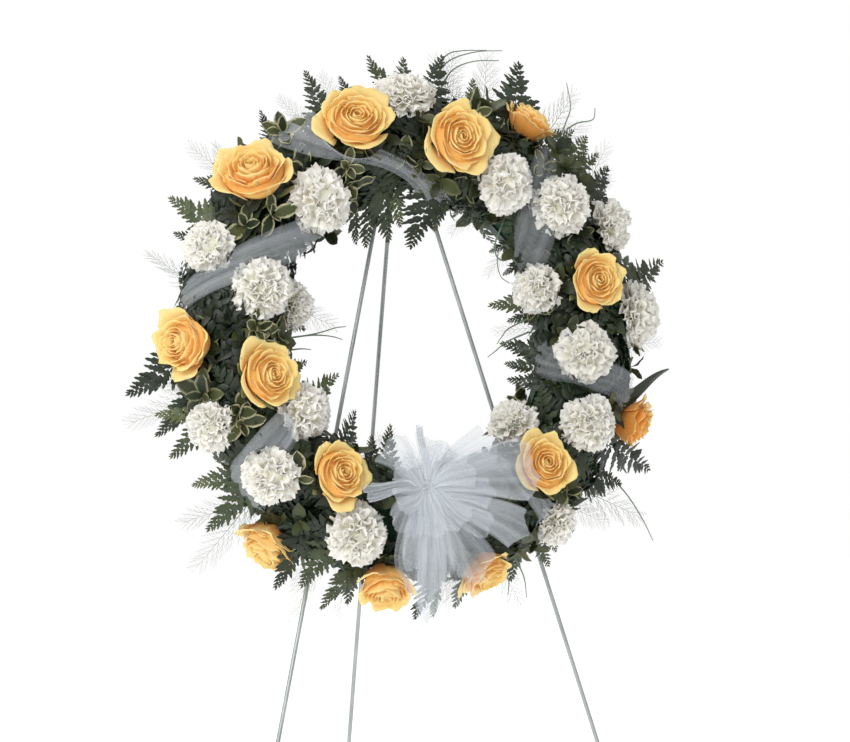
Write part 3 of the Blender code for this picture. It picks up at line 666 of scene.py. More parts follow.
rosePetalFinish = rosePetalMaterial()
sepalFinish = plainMaterial(
    "sepalFinish", {"Roughness": 0.5, "Subsurface Weight": 0.1, "Subsurface Scale": 0.002},
    lambda: attribute("rim") + noise(120.0) * 0.5,
    [(0.2, 0.09, 0.17, 0.05), (0.7, 0.13, 0.22, 0.07), (1.2, 0.24, 0.26, 0.10)],
    lambda: noise(400.0), 0.2, 0.0004)
roseNames = sorted(n for n in frame["nodes"] if n.startswith("rose_"))
for roseName in roseNames:
    buildRose(roseName)
print("roses made:", len(roseNames))

# Carnations: ruffled petals set round a point by Geometry Nodes

carnation = {
    "petals": 60, "kinds": 7, "rows": 4, "columns": 11, "thickness": 0.015,
    "foot": 0.07, "widest": 0.46, "ruffle": 0.105, "fineRuffle": 0.035,
    "neck": 0.84, "lobe": 0.09, "base": -0.40, "core": 0.46,
    "cup": [(0.10, -0.86), (0.15, -0.82), (0.17, -0.62), (0.20, -0.44), (0.16, -0.36)],
    "whorl": {"Inner Tilt": -0.06, "Outer Tilt": 1.95, "Tilt Power": 0.62, "Inner Size": 0.96,
              "Outer Size": 1.0, "Twist": 0.8, "Crumple": 0.20},
    # how wide and how tall each bloom has grown
    "shapes": {"carnation_01": (1.16, 0.88), "carnation_02": (1.02, 1.12), "carnation_03": (0.88, 0.90),
               "carnation_05": (0.98, 1.09), "carnation_06": (1.06, 1.05), "carnation_07": (1.0, 1.10),
               "carnation_10": (0.98, 1.24), "carnation_12": (1.04, 0.94), "carnation_13": (0.80, 0.92),
               "carnation_15": (0.94, 0.96), "carnation_16": (0.88, 0.94)},
}


def carnationPetal(rng):
    t, s = gridLines(carnation["rows"], carnation["columns"])
    half = carnation["foot"] + (carnation["widest"] - carnation["foot"]) * t ** 1.15
    teeth = np.array([[rng.uniform(-0.03, 0.04) + 0.03 * (-1) ** k for k in range(carnation["columns"] + 1)]])
    length = t * (1 - 0.20 * s * s * t) + teeth * t ** 9
    waves, phase = rng.uniform(2.0, 2.9), rng.uniform(0, 6)
    ruffle = carnation["ruffle"] * t ** 1.8 * np.sin(pi * waves * s + phase)
    ruffle = ruffle + carnation["fineRuffle"] * t ** 4 * np.sin(pi * 4.1 * s + phase * 2)
    fold = rng.uniform(-0.08, 0.12)
    grid = stacked(half * s * (1 - 0.10 * t), fold * t * t + ruffle + 0.12 * s * s * t * fold, length)
    return closedSheet(grid[:, ::-1], carnation["thickness"], {"rim": t})


def growWhorlTree():
    tree, given = newTree("whorl", {
        "Petals": "Collection", "Count": 40, "Seed": 1, "Inner Tilt": 0.0, "Outer Tilt": 1.9,
        "Tilt Power": 0.6, "Base": 0.0, "Inner Size": 1.0, "Outer Size": 1.0, "Twist": 0.4, "Crumple": 0.0,
        "Material": "Material"})
    index = put("GeometryNodeInputIndex")
    share = (index + 0.5) / given["Count"]
    tilt = mapped(share ** given["Tilt Power"], 0.0, 1.0, given["Inner Tilt"], given["Outer Tilt"])
    tilt = tilt + shaken(given, -0.15, 0.15, 1)
    turn = index * 2.39996 + shaken(given, -0.2, 0.2, 2)            # the golden angle, in radians
    size = mapped(share, 0.0, 1.0, given["Inner Size"], given["Outer Size"]) * shaken(given, 0.84, 1.09, 3)
    petals = setOn(given["Count"], combined(z=given["Base"]), given["Petals"], index,
                   combined(x=tilt * -1.0, z=turn), size)
    twist = combined(z=shaken(given, -1.0, 1.0, 4) * given["Twist"])
    rolled = put("GeometryNodeRotateInstances", {"Instances": petals, "Rotation": twist})
    marked = put("GeometryNodeStoreNamedAttribute", {"Geometry": rolled, "Name": "layer", "Value": share},
                 domain="INSTANCE")
    real = put("GeometryNodeRealizeInstances", {"Geometry": marked})
    cloud = put("ShaderNodeTexNoise", {"Scale": 3.4, "Detail": 1.0}, "Color")
    away = put("ShaderNodeVectorMath", {0: cloud, 1: (0.5, 0.5, 0.5)}, operation="SUBTRACT")
    push = put("ShaderNodeVectorMath", {0: away, "Scale": given["Crumple"]}, operation="SCALE")
    shaped = put("GeometryNodeSetPosition", {"Geometry": real, "Offset": push})
    return closeTree(tree, shaped, given["Material"])


def carnationCore():
    turns = np.linspace(0, 2 * pi, 21)[:-1]
    rings = []
    for tilt in np.linspace(0.04, 2.3, 8):
        size = carnation["core"] * (1 + 0.05 * np.sin(4 * turns + 7 * tilt) * sin(tilt))
        rings.append(turned(size * sin(tilt), turns, carnation["base"] * 0.35 + size * cos(tilt) * 0.92))
    return ringSolid(rings, {"rim": 0.45})


def buildCarnation(name, number):
    place = flowerPlace(name, carnation, carnation["shapes"].get(name, (1.0, 1.0)))
    mesh = grownMesh(whorlTree, {
        "Petals": carnationKinds, "Count": carnation["petals"], "Seed": number * 11,
        "Base": carnation["base"], "Material": carnationFinish, **carnation["whorl"]}, "head")
    patches = onHead(place, [patchOf(mesh, ["rim", "layer"]), carnationCore()])
    bpy.data.meshes.remove(mesh)
    piece = makePiece(name + "_bloom", patches + greenParts(place, carnation["cup"]),
                      [carnationFinish, sepalFinish])
    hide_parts(name)


whorlTree = growWhorlTree()
carnationFinish = plainMaterial(
    "carnationFinish", {"Roughness": 0.65, "Subsurface Weight": 0.5, "Subsurface Radius": (1.0, 0.9, 0.8),
                        "Subsurface Scale": 0.0008, "Specular IOR Level": 0.25},
    lambda: attribute("rim") + (noise(70.0) - 0.5) * 0.25,
    [(0.05, 0.62, 0.62, 0.44), (0.35, 0.78, 0.765, 0.65), (0.70, 0.82, 0.805, 0.735),
     (0.97, 0.84, 0.825, 0.765)], lambda: noise(420.0, 2.0), 0.2, 0.0005)
petalDice = random.Random("carnation petals")
carnationKinds = kindsOf("carnationPetal", [carnationPetal(petalDice) for k in range(carnation["kinds"])])
carnationNames = sorted(n for n in frame["nodes"] if n.startswith("carnation_"))
for number, carnationName in enumerate(carnationNames):
    buildCarnation(carnationName, number)
dropKinds(carnationKinds)
print("carnations made:", len(carnationNames))

# Foliage: fronds and wisps grown by one tree, leaf by leaf, then bent to their places

foliageSlots = {"fern": 0, "leaf": 1, "wisp": 2, "stem": 3}
foliage = {
    "frondRoom": 0.7, "wispRoom": 1.05,           # least distance from a head's middle, in its radii
    # where roots may lie round the tube, outside the ring and inside it
    "frondRoots": [(28, 62), (115, 150)], "wispRoots": [(2, 30), (150, 178)],
    "sprigReach": 0.060, "hubReach": (0.020, 0.032, 0.047), "hubDepth": 0.022, "hubRadius": 0.0018,
    "tendrilRadii": (0.0011, 0.0005), "sprigStem": [0.0016, 0.0014, 0.0008], "frondWidth": (0.85, 1.1),
    "frondTip": 1.05,                             # where a grown frond's tip lies along X
    "tries": 14,                                  # for a root from which the flowers are cleared
}


def growFrondTree():
    tree, given = newTree("frond", {
        "Leaflets": "Collection", "Kinds": 1, "Pairs": 9, "Longest": 0.3, "Crowding": 1.0, "Least": 0.04,
        "Shoulder": 0.7, "Taper": 0.8, "Base Lean": 1.1, "Tip Lean": 0.7, "Rib": 0.01, "Rib Points": 6,
        "Seed": 1, "Material": "Material"})
    index = put("GeometryNodeInputIndex")
    twice = given["Pairs"] * 2.0
    share = (mathNode("FLOOR", index / 2.0) + 0.6) / (given["Pairs"] + 0.6)
    share = 1.0 - (1.0 - share) ** given["Crowding"]
    odd = mathNode("MODULO", index, 2.0) * 2.0 - 1.0
    side = odd * mathNode("LESS_THAN", index, twice - 0.5)          # 0 for the leaflet at the tip
    lean = mapped(share, 0.0, 1.0, given["Base Lean"], given["Tip Lean"]) + shaken(given, -0.10, 0.10, 1)
    shoulder = mapped(share, 0.0, 0.22, given["Shoulder"], 1.0)
    size = (1.0 - share) ** given["Taper"] * shoulder * given["Longest"] + given["Least"]
    pose = combined(shaken(given, -0.35, 0.35, 3), shaken(given, -0.12, 0.20, 4), side * lean)
    kind = mathNode("FLOOR", share * (given["Kinds"] * 0.99))
    place = combined(share - side * (0.16 / given["Pairs"]))
    leaves = setOn(twice + 1.0, place, given["Leaflets"], kind, pose, size * shaken(given, 0.88, 1.08, 2))
    line = put("GeometryNodeCurvePrimitiveLine", {"End": (1.0, 0.0, 0.0)})
    bits = put("GeometryNodeResampleCurve", {"Curve": line, "Count": given["Rib Points"]})
    along = put("GeometryNodeSplineParameter", output="Factor")
    section = put("GeometryNodeCurvePrimitiveCircle", {"Resolution": 3, "Radius": 1.0})
    rib = put("GeometryNodeCurveToMesh", {"Curve": bits, "Profile Curve": section, "Fill Caps": True,
                                          "Scale": given["Rib"] * (1.0 - along * 0.8)})
    joined = put("GeometryNodeJoinGeometry")
    for part in (leaves, rib):
        connect(part, joined.socket.node.inputs[0])
    return closeTree(tree, put("GeometryNodeRealizeInstances", {"Geometry": joined}), given["Material"])


def needle():
    points = np.array([(0, -0.018, 0), (1, 0, 0), (0, 0.018, 0), (0.42, 0, 0.03)])
    return newPatch(points, [np.array([(0, 1, 3), (1, 2, 3), (2, 0, 3)]), np.array([[2, 1, 0]])],
                    {"rim": points[:, 0]}, 4)


fern = {
    "kinds": 4, "pairs": 13, "coarseKinds": 3, "coarsePairs": 9,
    # stations along a pinna, its half width, how deep its teeth are
    "pinnae": [(10, 0.20, 0.55), (10, 0.21, 0.40), (8, 0.24, 0.25)],
    "coarsePinnae": [(7, 0.25, 0.45), (5, 0.28, 0.0)], "blade": (14, 0.045, 0.0),
    "frond": {"Crowding": 1.45, "Longest": 0.38, "Least": 0.05, "Shoulder": 0.70, "Taper": 0.95,
              "Base Lean": 1.10, "Tip Lean": 0.60, "Rib": 0.007},
    "droop": 0.12,
}


def pinna(stations, width, teeth):
    t, s = gridLines(stations - 1, 2)
    odd = (-1.0) ** np.arange(stations)[:, None]
    half = width * np.minimum(1, 0.45 + t * 4) * (1 - t ** 1.7) ** 0.8
    half = half * (1 - teeth / 2 + teeth / 2 * odd) + 0.006
    x = t + 0.05 * np.abs(s) * (1 + odd * (teeth > 0)) * (1 - t)
    z = (0.012 + 0.14 * half) * (1 - np.abs(s)) - 0.10 * t * t
    return ringSolid(stacked(x, s * half, z), {"rim": t})


def grown(name, leaflets, count, seedStep, values, slot=0):
    kinds = kindsOf(name + "Leaflet", leaflets)
    meshes = [grownMesh(frondTree, {"Leaflets": kinds, "Seed": seedStep * k, **values}, name)
              for k in range(count)]
    dropKinds(kinds)
    return [patchOf(mesh, ["rim"], slot) for mesh in meshes]


def growFerns(kinds, pinnae, pairs):
    return grown("frond", [pinna(*sizes) for sizes in pinnae], kinds, 31, {
        "Kinds": len(pinnae), "Pairs": pairs, "Material": fernFinish, **fern["frond"]}, foliageSlots["fern"])


wisp = {
    "kinds": 3, "width": 0.9,
    "twig": {"Pairs": 4, "Longest": 0.30, "Least": 0.10, "Shoulder": 0.9, "Taper": 0.35, "Base Lean": 0.50,
             "Tip Lean": 0.30, "Rib": 0.008, "Rib Points": 2, "Seed": 3},
    "spray": {"Pairs": 13, "Longest": 0.30, "Least": 0.06, "Shoulder": 0.5, "Taper": 0.5, "Base Lean": 0.80,
              "Tip Lean": 0.45, "Rib": 0.006},
}


def growWisps():
    twigs = grown("twig", [needle()], 1, 0, {"Material": wispFinish, **wisp["twig"]})
    return grown("wisp", twigs, wisp["kinds"], 17, {"Material": wispFinish, **wisp["spray"]},
                 foliageSlots["wisp"])


leaf = {
    "rows": 7, "columns": 4, "thickness": 0.020, "halfWidth": 0.25, "rise": (24, 66), "spiral": 2.4,
    "stalk": (-0.9, -0.3, 0.12), "size": (0.78, 1.08), "topSize": 0.75,
}


def broadLeaf(rng, curl, cream):
    t, s = gridLines(leaf["rows"], leaf["columns"])
    half = leaf["halfWidth"] * np.sin(pi * t ** 1.25) ** 0.75 + 0.012 + 0.02 * (t < 0.5)
    wave, phase = rng.uniform(0.015, 0.04), rng.uniform(0, 6)
    z = -np.sin(curl * t * 0.6) * t * 0.8 + 0.16 * s * s * half + wave * np.abs(s) * np.sin(t * 13 + phase)
    return closedSheet(stacked(t * np.cos(curl * t * 0.6), s * half, z), leaf["thickness"],
                       {"edge": np.abs(s), "rim": t, "cream": cream}, foliageSlots["leaf"])


def sprig(at, facing, size, count, rng, cream=1.0):
    side = unit(np.cross(facing, across if abs(facing @ across) < 0.9 else upward))
    other = np.cross(facing, side)
    patches = []
    for k in range(count):
        turn = leaf["spiral"] * k + rng.uniform(-0.3, 0.3)
        rise = radians(eased(*leaf["rise"], (k + 0.5) / count)) + rng.uniform(-0.25, 0.25)
        away = cos(turn) * side + sin(turn) * other
        low = k < count - 2                                         # the last two stand up, and are smaller
        along = unit(sin(rise) * facing * 0.62 + cos(rise) * away if low else facing * 0.9 + 0.45 * away)
        normal = unit(facing - (facing @ along) * along + 0.02 * away)
        length = size * rng.uniform(*leaf["size"]) * (1.0 if low else leaf["topSize"])
        axes = np.stack([along, np.cross(normal, along), normal], 1) * length
        start = at + facing * size * 0.10 * k / count
        patches.append(toned(placed(broadLeaf(rng, rng.uniform(0.1, 0.8), cream), axes, start), rng.random()))
    path = [at + facing * size * share for share in leaf["stalk"]]
    patches.append(tube(path, foliage["sprigStem"], 6, foliageSlots["stem"], {"rim": 0.3}))
    return patches


# A frond is grown along X, and is then laid along a curve

def bentAlong(patch, ends, face, width=1.0):
    t = np.linspace(0, 1, 25)
    path = np.array([curveAt(ends, k) for k in t])
    length = np.linalg.norm(np.diff(path, axis=0), axis=1).sum()
    ahead = np.gradient(path, axis=0)
    ahead /= np.linalg.norm(ahead, axis=1, keepdims=True)
    normal = face - (ahead @ face)[:, None] * ahead
    normal /= np.linalg.norm(normal, axis=1, keepdims=True)
    local = patch["points"] * [1 / foliage["frondTip"], 1, 1]
    middle, side, up = [np.stack([np.interp(local[:, 0], t, axes[:, k]) for k in range(3)], 1)
                        for axes in (path, np.cross(normal, ahead), normal)]
    lift = local[:, 2] - fern["droop"] * local[:, 1] ** 2
    points = middle + side * (local[:, 1] * length * width)[:, None] + up * (lift * length)[:, None]
    return {**patch, "points": points}


def reaching(clock, u, v, rng, baseTurn=None, bend=0.35, rootAngle=None):
    inner = u < 0
    tip = ringPoint(clock, u, v)
    rootClock = clock + (rng.uniform(-9, 9) if baseTurn is None else baseTurn)
    angle = rng.uniform(*foliage["frondRoots"][inner]) if rootAngle is None else rootAngle
    root = tubePoint(rootClock, angle, wreath["rootReach"])
    start = unit(tubePoint(rootClock, angle, 0.08) - root)
    length = np.linalg.norm(tip - root)
    out = clockAxes(clock)[0] * (-1 if inner else 1)
    finish = unit(unit(tip - root) + 0.55 * out - 0.25 * outward)
    return root, root + start * length * bend, tip - finish * length * bend, tip


def clearReach(clock, u, v, rng, room, rootAngles=None):
    for k in range(foliage["tries"]):
        ends = reaching(clock, u, v, rng, rootAngle=rootAngles and rng.uniform(*rootAngles))
        spots = [curveAt(ends, t) for t in (0.5, 0.65, 0.8, 0.95)]
        if all(np.linalg.norm(spot - h["head"]) > room * h["radius"] for spot in spots for h in heads):
            return ends
    return None


# The tips of the fronds, wisps and blades, and the points of the curled tendrils, are (clock, mm beyond the
# ring's middle circle, mm forward). A frond may add its width, and a blade adds its root's turn and angle.
# A sprig is (clock, angle round the tube, leaf length in mm, leaves, how cream their edges are), and may add
# mm from the middle of the foam. A hub is the clock angle of the stem, and 1 outside the ring or -1 inside.
sprays = {
    "fern_upper_left": {
        "hub": (303, 1), "fronds": [(300, 101, 18), (306, 88, 22), (293, 84, 30), (311, 82, 30)],
        "wisps": [(311, 116, 20), (288, 104, 12), (315, 96, 25)],
        "sprigs": [(326, 30, 32, 7, 1), (305, 84, 30, 5, 1)]},
    "fern_top_left": {
        "hub": (344, 1), "fronds": [(328, 88, 20), (341, 106, 22), (347, 88, 36), (356, 110, 15),
                                    (4, 110, 15)], "wisps": [(345, 100, 10), (334, 92, 10)],
        "sprigs": [(334, 104, 26, 5, 1)]},
    "fern_top_right": {
        "hub": (13, 1), "fronds": [(12, 119, 20), (28, 151, 15), (19, 100, 30), (33, 104, 28)],
        "wisps": [(15, 132, 12), (22, 146, 8), (10, 118, 20)],
        "tendrils": [[(11, 90, 20), (14, 114, 20), (19, 134, 20), (24, 149, 20)],
                     [(13, 80, 20), (15, 104, 20), (19, 122, 20), (24, 136, 20)],
                     [(10, 88, 20), (13, 118, 20), (16, 129, 20), (21, 141, 20)]],
        "sprigs": [(22, 32, 40, 4, 0)]},
    "pittosporum_upper_right": {
        "hub": (53, 1), "fronds": [(44, 118, 30), (58, 104, 24), (51, 122, 30), (47, 130, 20),
                                   (54, 118, 36, 1.2), (48, 104, 44)],
        "wisps": [(40, 164, 20), (51, 144, 26), (55, 128, 18), (45, 136, 30), (49, 124, 10), (57, 118, 30)],
        "tendrils": [[(44, 60, 40), (43, 90, 30), (42, 120, 22), (41, 140, 20), (38, 162, 16)],
                     [(43, 114, 24), (44, 130, 22), (46, 150, 18), (45, 164, 16)]],
        "sprigs": [(41, 48, 26, 6, 0, 75), (44, 62, 25, 6, 0, 78), (43, 30, 26, 6, 0, 74), (40, 68, 26, 5, 1),
                   (46, 34, 30, 7, 0), (52, 28, 30, 7, 0), (56, 62, 24, 5, 1)]},
    "fern_right": {
        "hub": (79, 1), "fronds": [(76, 142, 16), (79, 122, 20), (70, 98, 26), (86, 98, 28)],
        "wisps": [(92, 122, 18), (84, 116, 10)], "sprigs": [(82, 32, 27, 6, 0), (94, 30, 26, 5, 1)]},
    "fern_lower_right": {
        "hub": (120, 1), "fronds": [(118, 134, 16), (108, 96, 24), (124, 104, 24), (128, 92, 12)],
        "blades": [(97, 136, 40, 16, 60), (121, 118, 20, -4, 50)], "wisps": [(127, 156, 16), (133, 118, 20)],
        "tendrils": [[(124, 60, 30), (125, 110, 22), (127, 150, 16), (129, 176, 16)]],
        "sprigs": [(113, 66, 27, 5, 0)]},
    "fern_bottom_right": {
        "hub": (151, 1), "fronds": [(145, 94, 14), (149, 100, 22), (139, 90, 18), (158, 92, 16),
                                    (172, 99, 12)], "wisps": [(158, 128, 16), (174, 106, 14)],
        "tendrils": [[(157, 58, 40), (156, 90, 30), (157, 114, 25)],
                     [(161, 60, 40), (160, 84, 34), (161, 100, 30)]],
        "sprigs": [(153, 22, 34, 4, 0), (140, 60, 26, 4, 1)]},
    "fern_bottom_left": {
        "hub": (202, 1), "fronds": [(209, 102, 40, 1.2), (202, 112, 16), (213, 116, 30), (196, 96, 8),
                                    (181, 106, 10), (177, 104, 12)],
        "wisps": [(206, 136, 14), (198, 118, 10), (179, 112, 14)],
        "sprigs": [(192, 4, 28, 3, 0), (203, 64, 24, 4, 1)]},
    "fern_left": {
        "hub": (255, 1), "fronds": [(230, 112, 16), (246, 104, 24), (251, 107, 18), (255, 103, 28),
                                    (260, 124, 14), (239, 96, 20)],
        "wisps": [(255, 134, 14), (226, 148, -8), (234, 126, -4), (262, 100, 20)],
        "sprigs": [(256, 30, 33, 8, 0.5), (247, 58, 28, 5, 1), (271, 96, 30, 6, 1), (268, 128, 26, 5, 1)]},
    "fern_inner_top": {
        "hub": (352, -1), "fronds": [(8, -118, 20, 1.5), (352, -112, 26, 1.2), (333, -101, 22),
                                     (339, -110, 16), (20, -92, 24), (359, -96, 34), (345, -90, 30)],
        "wisps": [(28, -88, 20), (325, -84, 18)], "sprigs": [(1, 118, 24, 4, 0.3)]},
    "fern_inner_right": {
        "hub": (84, -1), "fronds": [(27, -66, 22), (73, -108, 24), (95, -99, 20), (84, -92, 30),
                                    (62, -74, 24), (106, -92, 24), (113, -84, 22), (50, -70, 20)],
        "wisps": [(88, -104, 10), (58, -92, 16)],
        "tendrils": [[(42, -30, 50), (44, -50, 50), (47, -66, 44), (52, -74, 40), (56, -68, 38),
                      (55, -58, 40), (51, -58, 44), (50, -68, 46), (54, -80, 44), (61, -84, 40),
                      (66, -76, 36)],
                     [(60, -34, 44), (63, -52, 42), (68, -66, 36), (74, -68, 32), (75, -58, 32),
                      (70, -54, 36), (67, -62, 40), (69, -76, 40), (75, -82, 36)],
                     [(84, -70, 44), (88, -97, 44), (92, -105, 42), (97, -111, 40)],
                     [(90, -70, 42), (95, -98, 40), (101, -110, 36), (106, -118, 34)]],
        "sprigs": [(93, 136, 26, 5, 0)]},
    "fern_inner_left": {
        "hub": (226, -1), "fronds": [(245, -122, 26), (220, -112, 24), (205, -96, 26), (199, -112, 40),
                                     (258, -92, 24), (274, -94, 28), (235, -92, 20), (212, -88, 22)],
        "wisps": [(278, -136, 22), (200, -104, 26), (193, -112, 20)],
        "tendrils": [[(269, -60, 46), (270, -86, 48), (272, -106, 46), (275, -122, 42), (277, -136, 40)],
                     [(269, -62, 46), (270, -88, 46), (270, -106, 44), (269, -120, 42), (267, -131, 40)],
                     [(264, -58, 44), (264, -76, 46), (263, -90, 44)]],
        "sprigs": [(258, 150, 24, 4, 0), (199, 160, 20, 6, 0), (267, 128, 28, 6, 0)]},
}
carpet = {
    "tries": 1100, "reach": (0.048, 0.064), "length": (0.070, 0.105), "width": (1.0, 1.3), "headRoom": 0.90,
    "arch": (0.058, 0.066), "spacing": 0.0172, "leafEvery": 4, "leafSize": (0.026, 0.038),
    "angles": (-18, 198), "rootAngles": (8, 172), "skin": 0.055,      # round the tube, and its radius
    "plainNear": (188, 24),                       # no cream edges this many degrees round this clock angle
}


def carpetFronds():
    rng = random.Random("carpet")
    kept = []
    for k in range(carpet["tries"]):
        clock, angle = rng.uniform(0, 360), rng.uniform(*carpet["angles"])
        tip = tubePoint(clock, angle, rng.uniform(*carpet["reach"]))
        if any(np.linalg.norm(tip - h["head"]) < carpet["headRoom"] * h["radius"] for h in heads):
            continue
        if any(np.linalg.norm(tip - ends[3]) < carpet["spacing"] for ends, *rest in kept):
            continue
        span = rng.uniform(*carpet["length"])
        bearing = rng.uniform(0, 2 * pi)
        back = np.degrees(span * cos(bearing) / ringRadius)
        low, high = carpet["rootAngles"]
        rootAngle = min(max(angle + np.degrees(span * sin(bearing) / carpet["skin"]), low), high)
        ends = (tubePoint(clock + back, rootAngle, wreath["rootReach"]),
                tubePoint(clock + back * 0.7, eased(rootAngle, angle, 0.3), carpet["arch"][0]),
                tubePoint(clock + back * 0.3, eased(rootAngle, angle, 0.7), carpet["arch"][1]), tip)
        kept.append((ends, unit(tubePoint(clock, angle, 0.08) - tubePoint(clock, angle, 0.04)), clock, angle))
    return kept


def nearestSpray(clock, angle):
    side = 1 if angle < 90 else -1
    gaps = {name: abs((clock - spray["hub"][0] + 180) % 360 - 180) for name, spray in sprays.items()
            if spray["hub"][1] == side}
    return min(gaps, key=gaps.get)


def keptOffTray(patch):                                             # leaves stay in front of the tray's back
    radial, depth = offRing(patch["points"])
    overTray = np.abs(radial) < wreath["trayHalfWidth"] + wreath["trayMargin"]
    short = np.where(overTray, np.maximum(wreath["trayFloor"] - depth, 0), 0)
    return {**patch, "points": patch["points"] + short[:, None] * outward}


def buildSpray(name, spray, covers):
    rng = random.Random(name)
    patches = []
    for clock, u, v, *wider in spray["fronds"]:
        out, along = clockAxes(clock)
        face = unit(outward + 0.35 * out * (1 if u > 0 else -1) + rng.uniform(-0.35, 0.35) * along)
        aim = (clock, u / 1000, v / 1000, rng)
        ends = clearReach(*aim, foliage["frondRoom"]) or reaching(*aim)
        width = rng.uniform(*foliage["frondWidth"]) * (wider[0] if wider else 1.0)
        patches.append(toned(bentAlong(rng.choice(frondKinds), ends, face, width), rng.random()))
    for clock, u, v, turn, angle in spray.get("blades", []):
        ends = reaching(clock, u / 1000, v / 1000, rng, turn, 0.45, angle)
        patches.append(toned(bentAlong(pinna(*fern["blade"]), ends, outward), 0.3))
    for stops in spray.get("tendrils", []):
        path = smoothPath([ringPoint(clock, u / 1000, v / 1000) for clock, u, v in stops], 6)
        radii = np.linspace(*foliage["tendrilRadii"], len(path))
        patches.append(toned(tube(path, radii, 5, foliageSlots["wisp"], {"rim": 0.3}), 0.5))
    for ends, face, leafy, plain in covers:
        if leafy:
            tilt = unit(face + 0.5 * np.array([rng.uniform(-1, 1) for k in range(3)]))
            patches += sprig(ends[3] - 0.004 * face, tilt, rng.uniform(*carpet["leafSize"]),
                             rng.choice([3, 4, 5]), rng, rng.choice([0, 0.15, 1.0]) * (not plain))
        # carpet fronds between the heads take only the darker half of the tones: painted shade in the gaps
        patches.append(toned(bentAlong(rng.choice(coarseKinds), ends, face, rng.uniform(*carpet["width"])),
                             rng.random() * 0.5))
    for clock, u, v in spray["wisps"]:
        face = unit(outward + rng.uniform(-0.6, 0.6) * clockAxes(clock)[1])
        ends = clearReach(clock, u / 1000, v / 1000, rng, foliage["wispRoom"], foliage["wispRoots"][u < 0])
        if ends:
            patches.append(toned(bentAlong(rng.choice(wispKinds), ends, face, wisp["width"]), rng.random()))
    for clock, angle, size, count, cream, *reach in spray["sprigs"]:
        at = tubePoint(clock, angle, reach[0] / 1000 if reach else foliage["sprigReach"])
        facing = unit(at - tubePoint(clock, angle, 0.03) + 0.012 * outward
                      + 0.016 * np.array([rng.uniform(-1, 1) for k in range(3)]))
        patches += sprig(at, facing, size / 1000, count, rng, cream)
    clock, side = spray["hub"]
    path = [ringPoint(clock, side * reach, foliage["hubDepth"]) for reach in foliage["hubReach"]]
    patches.append(tube(path, foliage["hubRadius"], 8, foliageSlots["stem"], {"rim": 0.3}))
    piece = makePiece(name + "_leaves", [keptOffTray(p) for p in patches],
                      [fernFinish, leafFinish, wispFinish, sepalFinish], crease=50)
    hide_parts(name)
    print(name, "faces:", len(piece.data.polygons))


def leafMaterial():
    material, shader = newMaterial("leafFinish", {"Roughness": 0.44, "Specular IOR Level": 0.32,
                                                  "Subsurface Weight": 0.08, "Subsurface Scale": 0.001})
    edge = attribute("edge") + (noise(260.0, 2.0) - 0.5) * 0.55
    green = ramp(attribute("tone") * 0.6 + noise(60.0) * 0.4,
                 (0.2, 0.013, 0.021, 0.009), (0.8, 0.080, 0.093, 0.033))
    pale = ramp(noise(150.0), (0.3, 0.36, 0.36, 0.19), (0.7, 0.55, 0.53, 0.33))
    tint(shader, mixed(mapped(edge, 0.62, 0.86, 0.0, 0.9) * attribute("cream"), green, pale))
    ribs = combined(attribute("edge") * 3.0, attribute("rim") * 11.0)
    bump(shader, noise(2.0, 2.0, ribs), 0.35, 0.0006)
    return material


# the near-black lowest stop is painted shade for fronds in the gaps
fernFinish = plainMaterial(
    "fernFinish", {"Roughness": 0.42, "Specular IOR Level": 0.4, "Subsurface Weight": 0.06,
                   "Subsurface Scale": 0.001},
    lambda: attribute("tone") * 0.7 + noise(90.0) * 0.5,
    [(0.15, 0.007, 0.013, 0.007), (0.45, 0.016, 0.027, 0.011), (0.75, 0.040, 0.058, 0.022),
     (1.05, 0.092, 0.118, 0.042)], lambda: noise(900.0, 2.0), 0.3, 0.0003)
wispFinish = plainMaterial(
    "wispFinish", {"Roughness": 0.6, "Subsurface Weight": 0.1, "Subsurface Scale": 0.001},
    lambda: attribute("tone") * 0.5 + noise(60.0) * 0.5,
    [(0.2, 0.09, 0.14, 0.09), (0.6, 0.18, 0.24, 0.17), (0.9, 0.32, 0.37, 0.29)])
leafFinish = leafMaterial()
frondTree = growFrondTree()
frondKinds = growFerns(fern["kinds"], fern["pinnae"], fern["pairs"])
coarseKinds = growFerns(fern["coarseKinds"], fern["coarsePinnae"], fern["coarsePairs"])
wispKinds = growWisps()
coverOf = {name: [] for name in sprays}
for number, (ends, face, clock, angle) in enumerate(carpetFronds()):
    plain = abs(clock - carpet["plainNear"][0]) < carpet["plainNear"][1]
    coverOf[nearestSpray(clock, angle)].append((ends, face, number % carpet["leafEvery"] == 0, plain))
for sprayName, spray in sprays.items():
    buildSpray(sprayName, spray, coverOf[sprayName])
print("foliage made")

# Tulle: pleated sheer strips. Pleat counts across a strip, and run along it in tenths of a metre

def pleatWave(s, pleats, phase):
    return np.sin(pi * pleats * s + phase) + 0.45 * np.sin(pi * pleats * 2.3 * s + phase * 1.7)


def sheetPiece(name, patches, node):
    piece = makePiece(name, patches, [tulleFinish])
    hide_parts(node)


